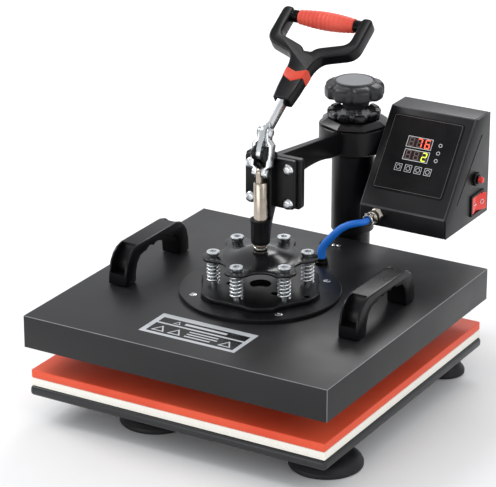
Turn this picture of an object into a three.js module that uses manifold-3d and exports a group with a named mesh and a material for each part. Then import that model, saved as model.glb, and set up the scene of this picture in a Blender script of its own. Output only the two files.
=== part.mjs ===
// A swing-away flat heat press: a padded bed on four rubber feet, a round column behind it, and an
// arm that swings about the column. A hand lever and a pair of toggle links push a plunger and the
// sprung heating platen down onto the bed. Millimetres, +X to the right, +Y to the back, +Z up.
import * as THREE from 'three';
import { mergeVertices } from 'three/addons/utils/BufferGeometryUtils.js';
import Module from 'manifold-3d';

const wasm = await Module();
wasm.setup();

// ---- driving dimensions ------------------------------------------------------------------------

const GAP = 0.3; // clearance between touching pieces
const PLUNGER_Y = -45; // axis of the plunger, the bed and the platen
const COLUMN_Y = 177; // axis of the column and of the swinging arm

const BED = { size: 384, bottom: 30, top: 42, corner: 6, edge: 4 };
const PAD_SIZE = 380;
const FOAM = { bottom: BED.top + GAP, top: 52 };
const SILICONE = { bottom: FOAM.top + GAP, top: 62 };
// The front left foot stands further in than the right one, and the back feet are smaller.
const FEET = {
  foot_front_left: { x: -68, y: -164, radius: 42 },
  foot_front_right: { x: 153, y: -164, radius: 42 },
  foot_back_left: { x: -156, y: 120, radius: 25 },
  foot_back_right: { x: 156, y: 120, radius: 25 },
};
const RAIL = { x: 104, width: 24, bottom: 16, top: BED.bottom - GAP, front: -206, back: 240 };
const COLUMN_PLATE = { width: 220, front: 150, back: 240, bottom: 30, top: 40 };

const POST = { radius: 21.5, flange: 26.5, spigot: 20, shoulder: 133, top: 176 };
const COLUMN = { radius: 26, bore: 20.3, top: 266 };
const HUB_SEAT = 237.7;
const COLLAR = { radius: 29, bottom: 232, top: HUB_SEAT };
const NUT = { radius: 20, bottom: 242, top: 262 };

const HUB = { radius: 42, bore: 26.3, bottom: 238, top: 268 };
const BEAM = { thickness: 9.5, noseTop: 286.2, hubTop: 269 };
const NOSE = { width: 72, bottom: 226.6, top: 286.8, corner: 4, front: -17, back: -7 };

const CAP = { lip: 42.2, crown: 34, bottom: 268.3, edge: 271, top: 276.5, bore: 9.8 };
const LOCK_RING = { radius: 33, inner: 25.5, bottom: 276.8, floor: 279.4, top: 285.5, bore: 9.8 };
const STEM = { radius: 9.5, bottom: 243, top: 291, thread: 7.5 };
const KNOB = { radius: 36, neck: 13.5, bottom: 287, skirt: 302, shoulder: 316, top: 322, lobes: 8 };

const HOUSING = { front: -25, back: -17.3, width: 64, bottom: 228, top: 286.8, web: 8 };
const GUIDE = { radius: 11.2, bore: 8.3, bottom: 189, top: 219 };
const ROD = { radius: 8, shoulder: 263.7, tongueTop: 281, tongue: 2.8, bottom: 172, thread: 5 };

// Toggle: crank on the fixed pivot, links from the crank pin down to the plunger pin.
const PIVOT = { y: PLUNGER_Y, z: 298, radius: 4 };
const CRANK = { length: 24, lean: 25, eye: 7, half: 3 };
const LINK = { length: 46.5, width: 10.5, thickness: 4, narrow: 3.3, wide: 8.3 };
const LEVER_LEAN = 57.2; // degrees back from upright, as the press stands open
const PIN_RADIUS = 4;

const DOME = { radius: 66, waist: 48, bottom: 169.5, top: 173, rise: 9, centre: 40 };
const BOLT_CIRCLE = 54;
const BOLT = { shank: 4, head: 8, headHeight: 6, clearance: 4.7 };
const SPRING = { outer: 8, inner: 5.2, bottom: 140.6, top: 169.2 };
const FLANGE = { radius: 93.5, bottom: 129.3, top: 134, hole: 12.5 };
const PLATEAU = { top: 139, lobe: 73, notch: 67 };

const COVER = { size: 390, bottom: 90.5, top: 129, wall: 1.5 };
const HEATER = { size: 380, bottom: 90.5, top: 104 };
const BLANKET = { size: 372, bottom: 104.5, top: 122 };
const PULL = { x: 151, width: 25, length: 138, height: 44, wall: 4 };
const GLAND = { x: 19, y: 65, radius: 8, top: 137 };

// Control box: a wedge of folded sheet beside the hub, seen from the side as a Y-Z outline.
const CASE = {
  left: 42.5, right: 156, front: 115, back: 227, bottom: 169, ridge: 193, top: 294, topFront: 192,
  sheet: 1.6, cap: 1.8,
};
const SLOPE = new THREE.Vector2(CASE.topFront - CASE.front, CASE.top - CASE.ridge);
const PANEL = { left: 50.5, right: 143.2, low: 22.5, high: 118, thickness: 0.8 };
const KEY = { size: 10, pitch: 12.8, first: 77, along: 52.4, height: 1.6 };
const SOCKET = { x: 67, z: 185, radius: 8.5 };
const ROCKER = { y: 196, z: 189, width: 35, height: 26 };
const BREAKER = { y: 189.5, z: 221.5 };
const INLET = { x: 101, z: 200, width: 28, height: 32 };

const BLACK_POWDER = 0x26272a;
const BLACK_PLASTIC = 0x1d1e20;
const ZINC = 0xc9ccd0;
const NICKEL = 0xd5d2ca;

// ---- helpers -----------------------------------------------------------------------------------

const press = new THREE.Group();

function add(name, geometry, color, roughness, metalness) {
  const material = new THREE.MeshStandardMaterial({ color, roughness, metalness });
  const mesh = new THREE.Mesh(geometry, material);
  mesh.name = name;
  press.add(mesh);
  return mesh;
}

const enamel = (name, geometry) => add(name, geometry, BLACK_POWDER, 0.5, 0.3);
const plastic = (name, geometry) => add(name, geometry, BLACK_PLASTIC, 0.45, 0);
const zinc = (name, geometry) => add(name, geometry, ZINC, 0.3, 1);
const nickel = (name, geometry) => add(name, geometry, NICKEL, 0.2, 1);

// Positions only, shared vertices merged and flat triangles dropped: what a boolean needs.
function bare(geometry) {
  const copy = geometry.clone();
  copy.deleteAttribute('normal');
  copy.deleteAttribute('uv');
  const merged = mergeVertices(copy, 1e-4);
  const index = merged.index.array;
  const kept = [];
  for (let i = 0; i < index.length; i += 3) {
    const [a, b, c] = [index[i], index[i + 1], index[i + 2]];
    if (a !== b && b !== c && c !== a) kept.push(a, b, c);
  }
  merged.setIndex(kept);
  return merged;
}

function solid(geometry) {
  const mesh = bare(geometry);
  return new wasm.Manifold(new wasm.Mesh({
    numProp: 3,
    vertProperties: new Float32Array(mesh.attributes.position.array),
    triVerts: new Uint32Array(mesh.index.array),
  }));
}

function surface(manifold) {
  const mesh = manifold.getMesh();
  const geometry = new THREE.BufferGeometry();
  geometry.setAttribute('position', new THREE.BufferAttribute(mesh.vertProperties, 3));
  geometry.setIndex(new THREE.BufferAttribute(mesh.triVerts, 1));
  geometry.computeVertexNormals();
  return geometry;
}

// Joins the first list of geometries and cuts the second from them.
function join(parts, cuts = []) {
  let body = solid(parts[0]);
  for (const part of parts.slice(1)) body = body.add(solid(part));
  for (const cut of cuts) body = body.subtract(solid(cut));
  return surface(body);
}

function block(x0, x1, y0, y1, z0, z1) {
  const geometry = new THREE.BoxGeometry(x1 - x0, y1 - y0, z1 - z0);
  return geometry.translate((x0 + x1) / 2, (y0 + y1) / 2, (z0 + z1) / 2);
}

// A profile of [radius, height] pairs turned about an upright axis at x, y.
function turned(profile, x, y, segments = 24) {
  const points = profile.map(([r, z]) => new THREE.Vector2(r, z));
  const geometry = new THREE.LatheGeometry(points, segments);
  return geometry.rotateX(Math.PI / 2).translate(x, y, 0);
}

function rod(radius, z0, z1, x, y, segments = 20) {
  return turned([[0, z0], [radius, z0], [radius, z1], [0, z1]], x, y, segments);
}

function tube(outer, inner, z0, z1, x, y, segments = 20) {
  const profile = [[inner, z0], [outer, z0], [outer, z1], [inner, z1], [inner, z0]];
  return turned(profile, x, y, segments);
}

// The same, turned about an axis along X through y, z; heights become places along X.
function turnedAlongX(profile, y, z, segments = 16) {
  const points = profile.map(([r, x]) => new THREE.Vector2(r, x));
  const geometry = new THREE.LatheGeometry(points, segments);
  return geometry.rotateZ(-Math.PI / 2).translate(0, y, z);
}

function rodAlongX(radius, x0, x1, y, z, segments = 16) {
  return turnedAlongX([[0, x0], [radius, x0], [radius, x1], [0, x1]], y, z, segments);
}

// And about an axis along Y through x, z.
function turnedAlongY(profile, x, z, segments = 14) {
  const points = profile.map(([r, y]) => new THREE.Vector2(r, y));
  return new THREE.LatheGeometry(points, segments).translate(x, 0, z);
}

function rodAlongY(radius, y0, y1, x, z, segments = 14) {
  return turnedAlongY([[0, y0], [radius, y0], [radius, y1], [0, y1]], x, z, segments);
}

function outline(points) {
  return new THREE.Shape(points.map(([x, y]) => new THREE.Vector2(x, y)));
}

function roundedRectangle(width, height, radius, cx = 0, cy = 0) {
  const [x, y] = [cx - width / 2, cy - height / 2];
  const shape = new THREE.Shape();
  shape.moveTo(x + radius, y);
  shape.lineTo(x + width - radius, y);
  shape.absarc(x + width - radius, y + radius, radius, -Math.PI / 2, 0);
  shape.lineTo(x + width, y + height - radius);
  shape.absarc(x + width - radius, y + height - radius, radius, 0, Math.PI / 2);
  shape.lineTo(x + radius, y + height);
  shape.absarc(x + radius, y + height - radius, radius, Math.PI / 2, Math.PI);
  shape.lineTo(x, y + radius);
  shape.absarc(x + radius, y + radius, radius, Math.PI, Math.PI * 1.5);
  return shape;
}

// An outline drawn in X-Y and raised from z0 to z1, with its edges chamfered by bevel.
function raised(shape, z0, z1, bevel = 0, curveSegments = 5) {
  const geometry = new THREE.ExtrudeGeometry(shape, {
    depth: z1 - z0 - 2 * bevel,
    bevelEnabled: bevel > 0,
    bevelThickness: bevel,
    bevelSize: bevel,
    bevelOffset: -bevel,
    bevelSegments: 1,
    curveSegments,
  });
  return geometry.translate(0, 0, z0 + bevel);
}

const SIDEWAYS = new THREE.Matrix4().makeBasis(
  new THREE.Vector3(0, 1, 0), new THREE.Vector3(0, 0, 1), new THREE.Vector3(1, 0, 0));
const UPRIGHT = new THREE.Matrix4().makeBasis(
  new THREE.Vector3(1, 0, 0), new THREE.Vector3(0, 0, 1), new THREE.Vector3(0, -1, 0));

// An outline drawn in Y-Z and carried along X.
function alongX(shape, x0, x1, bevel = 0, curveSegments = 6) {
  return raised(shape, x0, x1, bevel, curveSegments).applyMatrix4(SIDEWAYS);
}

// An outline drawn in X-Z and carried along Y.
function alongY(shape, y0, y1, bevel = 0, curveSegments = 6) {
  return raised(shape, -y1, -y0, bevel, curveSegments).applyMatrix4(UPRIGHT);
}

// The outline of a bar with two round eyes, from a to b.
function barOutline(a, b, radius, steps = 8) {
  const angle = Math.atan2(b[1] - a[1], b[0] - a[0]);
  const points = [];
  for (let i = 0; i <= steps; i++) {
    const turn = angle + Math.PI / 2 + (Math.PI * i) / steps;
    points.push([a[0] + radius * Math.cos(turn), a[1] + radius * Math.sin(turn)]);
  }
  for (let i = 0; i <= steps; i++) {
    const turn = angle - Math.PI / 2 + (Math.PI * i) / steps;
    points.push([b[0] + radius * Math.cos(turn), b[1] + radius * Math.sin(turn)]);
  }
  return outline(points);
}

// A six-lobed outline about a centre: one radius at the spring bolts, another half way between them.
function lobedOutline(boltRadius, waistRadius, cx, cy, steps = 36) {
  const shape = new THREE.Shape();
  for (let i = 0; i < steps; i++) {
    const angle = (i / steps) * Math.PI * 2;
    const wave = Math.cos(6 * (angle - Math.PI / 6));
    const blend = (1 + Math.tanh(1.6 * wave) / Math.tanh(1.6)) / 2;
    const radius = waistRadius + (boltRadius - waistRadius) * blend;
    const [x, y] = [cx + radius * Math.cos(angle), cy + radius * Math.sin(angle)];
    if (i === 0) shape.moveTo(x, y);
    else shape.lineTo(x, y);
  }
  shape.closePath();
  return shape;
}

const radians = (degrees) => (degrees * Math.PI) / 180;

function boltPlaces() {
  const places = [];
  for (let i = 0; i < 6; i++) {
    const angle = radians(30 + 60 * i);
    places.push([BOLT_CIRCLE * Math.cos(angle), PLUNGER_Y + BOLT_CIRCLE * Math.sin(angle)]);
  }
  return places;
}

// ---- base: bed, rails, feet, pads and column -----------------------------------------------------

function addBed() {
  const sheet = roundedRectangle(BED.size, BED.size, BED.corner, 0, PLUNGER_Y);
  enamel('bed_plate', raised(sheet, BED.bottom, BED.top, BED.edge, 3));
  const foam = roundedRectangle(PAD_SIZE, PAD_SIZE, 3, 0, PLUNGER_Y);
  add('foam_pad', raised(foam, FOAM.bottom, FOAM.top, 0, 2), 0xf4f1e6, 0.9, 0);
  add('silicone_pad', raised(foam, SILICONE.bottom, SILICONE.top, 0, 2), 0xe0583f, 0.6, 0);
}

function addFrame() {
  for (const [side, name] of [[-1, 'left_rail'], [1, 'right_rail']]) {
    const bar = roundedRectangle(RAIL.width, RAIL.top - RAIL.bottom, 3,
      side * RAIL.x, (RAIL.top + RAIL.bottom) / 2);
    enamel(name, alongY(bar, RAIL.front, RAIL.back, 0, 2));
  }
  const [y0, y1] = [COLUMN_PLATE.front, COLUMN_PLATE.back];
  const plate = roundedRectangle(COLUMN_PLATE.width, y1 - y0, 8, 0, (y0 + y1) / 2);
  enamel('column_plate', raised(plate, COLUMN_PLATE.bottom, COLUMN_PLATE.top, 1, 3));
}

// A suction cup: hollow below, a thin rim on the table and a stud up to the bed.
function addFeet() {
  const height = BED.bottom - GAP;
  for (const [name, { x, y, radius }] of Object.entries(FEET)) {
    const stud = radius * 0.44;
    const cup = turned([
      [0, 6], [radius * 0.62, 6], [radius - 5, 0], [radius, 0], [radius, 4.5],
      [radius - 1.5, 8], [radius * 0.78, 13], [stud + 2, 16], [stud, height], [0, height],
    ], x, y, 20);
    add(name, cup, 0x1a1a1b, 0.7, 0);
  }
}

function addColumn() {
  const flangeBottom = COLUMN_PLATE.top + GAP;
  const flange = raised(roundedRectangle(2 * POST.flange, 80, 6, 0, COLUMN_Y + 16),
    flangeBottom, flangeBottom + 10, 1, 3);
  const stem = turned([
    [0, flangeBottom + 2], [POST.radius, flangeBottom + 2], [POST.radius, POST.shoulder],
    [POST.spigot, POST.shoulder], [POST.spigot, POST.top], [0, POST.top],
  ], 0, COLUMN_Y);
  enamel('column_post', join([flange, stem]));
  const bottom = POST.shoulder + GAP;
  enamel('column_tube', turned([
    [COLUMN.bore, bottom], [COLUMN.radius, bottom], [COLUMN.radius, COLLAR.bottom - 1],
    [COLLAR.radius, COLLAR.bottom + 1], [COLLAR.radius, COLLAR.top], [COLUMN.radius, COLLAR.top],
    [COLUMN.radius, COLUMN.top - 1.5], [COLUMN.radius - 1.5, COLUMN.top],
    [COLUMN.bore, COLUMN.top], [COLUMN.bore, bottom],
  ], 0, COLUMN_Y, 28));
  add('lift_nut', tube(NUT.radius, STEM.thread + GAP, NUT.bottom, NUT.top, 0, COLUMN_Y),
    0xb08d4a, 0.35, 1);
}

// ---- head of the column: bush, lock ring and pressure knob ---------------------------------------

function addLockRing() {
  const places = 10;
  const rim = new THREE.Shape();
  const steps = places * 4;
  for (let i = 0; i < steps; i++) {
    const angle = (i / steps) * Math.PI * 2;
    const radius = LOCK_RING.radius - 2.2 * (Math.cos(places * angle) > 0.2 ? 1 : 0);
    const point = [radius * Math.cos(angle), COLUMN_Y + radius * Math.sin(angle)];
    if (i === 0) rim.moveTo(...point);
    else rim.lineTo(...point);
  }
  rim.closePath();
  const crown = raised(rim, LOCK_RING.bottom, LOCK_RING.top, 0.8);
  const dish = rod(LOCK_RING.inner, LOCK_RING.floor, LOCK_RING.top + 5, 0, COLUMN_Y, 24);
  const bore = rod(LOCK_RING.bore, LOCK_RING.bottom - 5, LOCK_RING.top, 0, COLUMN_Y);
  enamel('lock_ring', join([crown], [dish, bore]));
}

function addKnob() {
  const steps = KNOB.lobes * 4;
  const rim = new THREE.Shape();
  for (let i = 0; i < steps; i++) {
    const angle = (i / steps) * Math.PI * 2;
    const wave = Math.cos(KNOB.lobes * angle);
    const radius = KNOB.radius - 2.6 * Math.max(0, wave) ** 2;
    const point = [radius * Math.cos(angle), COLUMN_Y + radius * Math.sin(angle)];
    if (i === 0) rim.moveTo(...point);
    else rim.lineTo(...point);
  }
  rim.closePath();
  const lobes = raised(rim, KNOB.skirt, KNOB.shoulder, 1.5);
  const body = turned([
    [0, KNOB.bottom], [KNOB.neck, KNOB.bottom], [KNOB.neck, KNOB.bottom + 7],
    [21, KNOB.skirt], [29, KNOB.skirt + 1], [31, KNOB.shoulder - 1], [25, KNOB.top], [0, KNOB.top],
  ], 0, COLUMN_Y, 20);
  const socket = rod(STEM.radius + GAP, KNOB.bottom - 5, STEM.top + GAP, 0, COLUMN_Y);
  plastic('pressure_knob', join([lobes, body], [socket]));
  zinc('knob_screw', turned([
    [0, STEM.bottom], [STEM.thread, STEM.bottom], [STEM.thread, CAP.bottom - 2],
    [STEM.radius, CAP.bottom - 2], [STEM.radius, STEM.top], [0, STEM.top],
  ], 0, COLUMN_Y, 20));
}

// ---- swinging arm --------------------------------------------------------------------------------

function addArm() {
  const hub = rod(HUB.radius, HUB.bottom, HUB.top, 0, COLUMN_Y, 36);
  const bore = rod(HUB.bore, HUB.bottom - 5, HUB.top + 5, 0, COLUMN_Y, 28);
  const side = new THREE.Shape();
  side.moveTo(NOSE.front + 4, NOSE.bottom + 3);
  side.quadraticCurveTo(NOSE.back + 10, 245, 48, 249);
  side.quadraticCurveTo(85, 251, 112, 243);
  side.lineTo(COLUMN_Y - HUB.radius + 6, HUB.bottom + 2);
  side.lineTo(COLUMN_Y - HUB.radius + 6, BEAM.hubTop - 2);
  side.lineTo(NOSE.back - 2, BEAM.noseTop);
  side.lineTo(NOSE.front + 4, NOSE.top - 4);
  const beam = alongX(side, -BEAM.thickness / 2, BEAM.thickness / 2, 1);
  const noseFace = roundedRectangle(NOSE.width, NOSE.top - NOSE.bottom, NOSE.corner, 0,
    (NOSE.top + NOSE.bottom) / 2);
  const nose = alongY(noseFace, NOSE.front, NOSE.back, 1, 4);
  enamel('swing_arm', join([hub, beam, nose], [bore]));

  const cap = new THREE.CylinderGeometry(CAP.crown, CAP.lip, CAP.top - CAP.edge, 8)
    .rotateX(Math.PI / 2).rotateZ(radians(5)).translate(0, COLUMN_Y, (CAP.top + CAP.edge) / 2);
  const lip = new THREE.CylinderGeometry(CAP.lip, CAP.lip - 1, CAP.edge - CAP.bottom, 8)
    .rotateX(Math.PI / 2).rotateZ(radians(5)).translate(0, COLUMN_Y, (CAP.edge + CAP.bottom) / 2);
  enamel('hub_cap', join([lip, cap], [rod(CAP.bore, CAP.bottom - 5, CAP.top + 5, 0, COLUMN_Y)]));
}

function addHousing() {
  const middle = (HOUSING.top + HOUSING.bottom) / 2;
  const height = HOUSING.top - HOUSING.bottom;
  const flange = alongY(roundedRectangle(HOUSING.width, height, NOSE.corner, 0, middle),
    HOUSING.front, HOUSING.back, 1, 4);
  const back = HOUSING.front + 2;
  const clear = PLUNGER_Y + 9.6;
  const side = outline([
    [PLUNGER_Y, 195], [-35.5, 195], [-34, 200], [-24, 227], [back, 229], [back, 285],
    [clear, 288], [clear, GUIDE.top - 4], [PLUNGER_Y, GUIDE.top - 4],
  ]);
  const web = alongX(side, -HOUSING.web, HOUSING.web);
  const boss = turned([
    [0, GUIDE.bottom], [GUIDE.radius - 1.6, GUIDE.bottom], [GUIDE.radius, GUIDE.bottom + 5],
    [GUIDE.radius, GUIDE.top - 3], [GUIDE.radius + 1.2, GUIDE.top], [0, GUIDE.top],
  ], 0, PLUNGER_Y, 20);
  const parts = [flange, web, boss];
  for (const side of [-1, 1]) {
    const lug = barOutline([PIVOT.y, PIVOT.z], [PLUNGER_Y + 17, PIVOT.z - 11], 8.6);
    const [x0, x1] = [3.4, HOUSING.web].map((x) => x * side).sort((a, b) => a - b);
    parts.push(alongX(lug, x0, x1));
  }
  const bore = rod(GUIDE.bore, GUIDE.bottom - 5, GUIDE.top + 0.1, 0, PLUNGER_Y, 20);
  const pinHole = rodAlongX(PIVOT.radius + GAP, -20, 20, PIVOT.y, PIVOT.z);
  enamel('toggle_housing', join(parts, [bore, pinHole]));
  zinc('pivot_pin', rodAlongX(PIVOT.radius, -7.9, 7.9, PIVOT.y, PIVOT.z));
}

// ---- toggle: lever, links and plunger ------------------------------------------------------------

const CRANK_PIN = {
  y: PIVOT.y + CRANK.length * Math.sin(radians(CRANK.lean)),
  z: PIVOT.z + CRANK.length * Math.cos(radians(CRANK.lean)),
};

// Lays a piece drawn flat in the lever's own plane at the crank pin: its Y runs up the lever.
function onLever(geometry) {
  return geometry.rotateX(radians(90 - LEVER_LEAN)).translate(0, CRANK_PIN.y, CRANK_PIN.z);
}

function addLever() {
  const crank = alongX(barOutline([PIVOT.y, PIVOT.z], [CRANK_PIN.y, CRANK_PIN.z], CRANK.eye),
    -CRANK.half, CRANK.half);
  const shank = onLever(block(-CRANK.half, CRANK.half, 0, 12, -6, 6));
  const bar = onLever(block(-4, 4, 10, 84, -6, 6));
  const holes = [
    rodAlongX(PIVOT.radius + GAP, -20, 20, PIVOT.y, PIVOT.z),
    rodAlongX(PIN_RADIUS + GAP, -20, 20, CRANK_PIN.y, CRANK_PIN.z),
  ];
  zinc('lever_bar', join([crank, shank, bar], holes));
  const outer = LINK.narrow + LINK.thickness + GAP;
  zinc('crank_pin', turnedAlongX([
    [0, -outer - 2], [4.5, -outer - 2], [5.6, -outer - 1], [5.6, -outer], [PIN_RADIUS, -outer],
    [PIN_RADIUS, outer], [5.6, outer], [5.6, outer + 1], [4.5, outer + 2], [0, outer + 2],
  ], CRANK_PIN.y, CRANK_PIN.z, 12));
}

const HANDLE = { low: 45, neck: 92, top: 178, outer: 58.5, inner: 44.8, grip: 170 };
const GRIP = { sleeve: 36.2, bore: 6, collar: 7.4, ends: 8, middle: 11 };

function handleOutline() {
  const h = HANDLE;
  const neck = [[10.5, h.low], [12.5, 62], [14, h.neck], [15.5, 104], [20, 112]];
  const elbow = [[48, 122], [55, 127], [h.outer, 136]];
  const head = [[h.outer, h.top - 5], [h.outer - 5, h.top], [h.inner + 4, h.top], [h.inner, h.top - 4]];
  const inside = [[h.inner, 144], [41.5, 135.5], [12, 125], [5, 118]];
  const right = [...neck, ...elbow, ...head, ...inside];
  const left = right.map(([x, y]) => [-x, y]).reverse();
  return outline([...right, ...left]);
}

function addHandle() {
  const frame = raised(handleOutline(), -8, 8, 2.5);
  const pocket = block(-4 - GAP, 4 + GAP, HANDLE.low - 5, 84 + GAP, -6 - GAP, 6 + GAP);
  plastic('handle_frame', onLever(join([frame], [pocket])));
  const end = HANDLE.inner - GAP;
  const { sleeve, bore, collar, ends, middle } = GRIP;
  const core = turnedAlongX([
    [0, -end], [collar, -end], [collar, -sleeve - GAP], [bore, -sleeve - GAP],
    [bore, sleeve + GAP], [collar, sleeve + GAP], [collar, end], [0, end],
  ], HANDLE.grip, 0, 20);
  plastic('grip_bar', onLever(core));
  const barrel = turnedAlongX([
    [bore + GAP, -sleeve], [ends, -sleeve], [middle - 0.8, -18], [middle, 0],
    [middle - 0.8, 18], [ends, sleeve], [bore + GAP, sleeve], [bore + GAP, -sleeve],
  ], HANDLE.grip, 0, 20);
  add('grip_sleeve', onLever(barrel), 0xf0694a, 0.6, 0);
}

// One joggled strap, narrow at both pins and wide around the pivot lugs; s runs down from the pin.
function linkGeometry(side) {
  const run = [[-8, LINK.narrow], [8, LINK.narrow], [13, LINK.wide], [38, LINK.wide],
    [41.5, LINK.narrow], [LINK.length + 8, LINK.narrow]];
  const inner = run.map(([s, x]) => [side * x, -s]);
  const outer = run.map(([s, x]) => [side * (x + LINK.thickness), -s]).reverse();
  const strap = alongY(outline([...inner, ...outer]), -LINK.width / 2, LINK.width / 2);
  const face = alongX(barOutline([0, 0], [0, -LINK.length], LINK.width / 2), -20, 20);
  const rivetEnds = [LINK.narrow + 1, LINK.narrow + LINK.thickness + 2];
  const [x0, x1] = rivetEnds.map((x) => x * side).sort((a, b) => a - b);
  const rivet = rodAlongX(4.6, x0, x1, 0, -LINK.length, 16);
  const hole = rodAlongX(PIN_RADIUS + GAP, -20, 20, 0, 0);
  const body = solid(strap).intersect(solid(face)).add(solid(rivet)).subtract(solid(hole));
  const lean = Math.asin((CRANK_PIN.y - PLUNGER_Y) / LINK.length);
  return surface(body).rotateX(-lean).translate(0, CRANK_PIN.y, CRANK_PIN.z);
}

function addLinks() {
  zinc('link_left', linkGeometry(-1));
  zinc('link_right', linkGeometry(1));
}

function addPlunger() {
  const shaft = turned([
    [0, ROD.bottom], [ROD.thread, ROD.bottom], [ROD.thread, 186], [ROD.radius, 187],
    [ROD.radius, ROD.shoulder - 1], [ROD.radius - 1.5, ROD.shoulder], [0, ROD.shoulder],
  ], 0, PLUNGER_Y, 24);
  const blade = barOutline([0, ROD.shoulder - 6], [0, ROD.tongueTop - 6], 6);
  const tongue = alongX(blade, -ROD.tongue, ROD.tongue).translate(0, PLUNGER_Y, 0);
  nickel('plunger_rod', join([shaft, tongue]));
  nickel('plunger_nut', tube(8.4, ROD.thread + GAP, 182.6, 186, 0, PLUNGER_Y, 24));
}

function addDomePlate() {
  const plate = raised(lobedOutline(DOME.radius, DOME.waist, 0, PLUNGER_Y), DOME.bottom, DOME.top);
  const [low, high] = [DOME.top - 0.5, DOME.top + DOME.rise];
  const dome = turned([
    [0, low], [DOME.centre, low], [DOME.centre - 6, low + 2.2], [16, high - 2], [9, high], [0, high],
  ], 0, PLUNGER_Y, 24);
  const hollow = turned([
    [0, DOME.bottom - 1], [DOME.centre - 10, DOME.bottom - 1], [12, high - 5.5], [0, high - 5.5],
  ], 0, PLUNGER_Y, 16);
  const cuts = [hollow, rod(ROD.thread + GAP, DOME.bottom - 5, high + 5, 0, PLUNGER_Y, 20)];
  for (const [x, y] of boltPlaces()) {
    cuts.push(rod(BOLT.clearance, DOME.bottom - 5, DOME.top + 5, x, y, 12));
  }
  enamel('dome_plate', join([plate, dome], cuts));
}

// ---- sprung platen -------------------------------------------------------------------------------

function addFlange() {
  const disc = turned([
    [0, FLANGE.bottom], [FLANGE.radius, FLANGE.bottom], [FLANGE.radius, FLANGE.top - 1],
    [FLANGE.radius - 1, FLANGE.top], [0, FLANGE.top],
  ], 0, PLUNGER_Y, 36);
  const plateau = raised(lobedOutline(PLATEAU.notch, PLATEAU.lobe, 0, PLUNGER_Y, 48),
    FLANGE.top - 1, PLATEAU.top, 1);
  const well = rod(FLANGE.hole, FLANGE.bottom + 2, PLATEAU.top + 5, 0, PLUNGER_Y, 20);
  const cuts = [well];
  for (const [x, y] of boltPlaces()) {
    cuts.push(rod(BOLT.shank + GAP, FLANGE.bottom + 1.6, PLATEAU.top + 5, x, y, 12));
  }
  enamel('flange_disc', join([disc, plateau], cuts));
}

function addSpringBolts() {
  const bottom = FLANGE.bottom + 2;
  const places = boltPlaces();
  places.forEach(([x, y], i) => {
    const shank = rod(BOLT.shank, bottom, DOME.top + 1, x, y, 12);
    const head = new THREE.CylinderGeometry(BOLT.head, BOLT.head, BOLT.headHeight, 12)
      .rotateX(Math.PI / 2).translate(x, y, DOME.top + GAP + BOLT.headHeight / 2);
    zinc(`spring_bolt_${i + 1}`, join([shank, head]));
  });
}

// All six springs stand on one thin seat plate, so that they drop in as a set.
function addSprings() {
  const seatTop = SPRING.bottom + 0.8;
  const seat = tube(BOLT_CIRCLE + 9, BOLT_CIRCLE - 9, PLATEAU.top + GAP, seatTop, 0, PLUNGER_Y, 24);
  const parts = [seat];
  const cuts = [];
  for (const [x, y] of boltPlaces()) {
    parts.push(rod(SPRING.outer, seatTop - 0.4, SPRING.top, x, y, 12));
    cuts.push(rod(SPRING.inner, PLATEAU.top - 5, SPRING.top + 5, x, y, 10));
  }
  zinc('springs', join(parts, cuts));
}

function addPlaten() {
  const half = COVER.size / 2;
  const inside = half - COVER.wall;
  const skin = block(-half, half, PLUNGER_Y - half, PLUNGER_Y + half, COVER.bottom, COVER.top);
  const hollow = block(-inside, inside, PLUNGER_Y - inside, PLUNGER_Y + inside,
    COVER.bottom - 5, COVER.top - COVER.wall);
  const entry = rod(5, COVER.bottom, COVER.top + 5, GLAND.x, GLAND.y, 16);
  enamel('platen_cover', join([skin], [hollow, entry]));
  const plate = roundedRectangle(HEATER.size, HEATER.size, 3, 0, PLUNGER_Y);
  add('heating_plate', raised(plate, HEATER.bottom, HEATER.top, 1, 2), 0x6f7276, 0.4, 0.9);
  const wool = roundedRectangle(BLANKET.size, BLANKET.size, 6, 0, PLUNGER_Y);
  add('insulation_blanket', raised(wool, BLANKET.bottom, BLANKET.top, 0, 2), 0xe4dfcf, 0.95, 0);
  plastic('lead_gland', turned([
    [5.2, COVER.top + GAP], [GLAND.radius, COVER.top + GAP], [GLAND.radius, COVER.top + 4],
    [6.6, GLAND.top], [5.2, GLAND.top], [5.2, COVER.top + GAP],
  ], GLAND.x, GLAND.y, 16));
}

// Bow pull: a hollow moulded bar on two legs, with finger scallops under it.
function pullOutline() {
  const [l, h] = [PULL.length / 2, PULL.height];
  const shape = new THREE.Shape();
  shape.moveTo(-l, 0);
  shape.lineTo(-l + 2, h - 24);
  shape.quadraticCurveTo(-l + 4, h - 4, -l + 24, h);
  shape.lineTo(l - 24, h);
  shape.quadraticCurveTo(l - 4, h - 4, l - 2, h - 24);
  shape.lineTo(l, 0);
  shape.lineTo(l - 19, 0);
  shape.lineTo(l - 21, h - 28);
  shape.quadraticCurveTo(l - 24, h - 15, l - 34, h - 13);
  for (let i = 0; i < 3; i++) {
    const y = l - 34 - i * 23.3;
    shape.quadraticCurveTo(y - 11.6, h - 6, y - 23.3, h - 13);
  }
  shape.quadraticCurveTo(-l + 24, h - 15, -l + 21, h - 28);
  shape.lineTo(-l + 19, 0);
  return shape;
}

function addPulls() {
  const base = COVER.top + GAP;
  for (const [side, name] of [[-1, 'pull_left'], [1, 'pull_right']]) {
    const bow = alongX(pullOutline(), -PULL.width / 2, PULL.width / 2, 1.2, 4);
    const half = PULL.width / 2 - PULL.wall;
    const [deep, out] = [PULL.length / 2 - 12, PULL.length / 2 + 10];
    const pockets = [
      block(-half, half, deep, out, 9, PULL.height - 12),
      block(-half, half, -out, -deep, 9, PULL.height - 12),
    ];
    plastic(name, join([bow], pockets).translate(side * PULL.x, PLUNGER_Y, base));
  }
}

// ---- control box ---------------------------------------------------------------------------------

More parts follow.
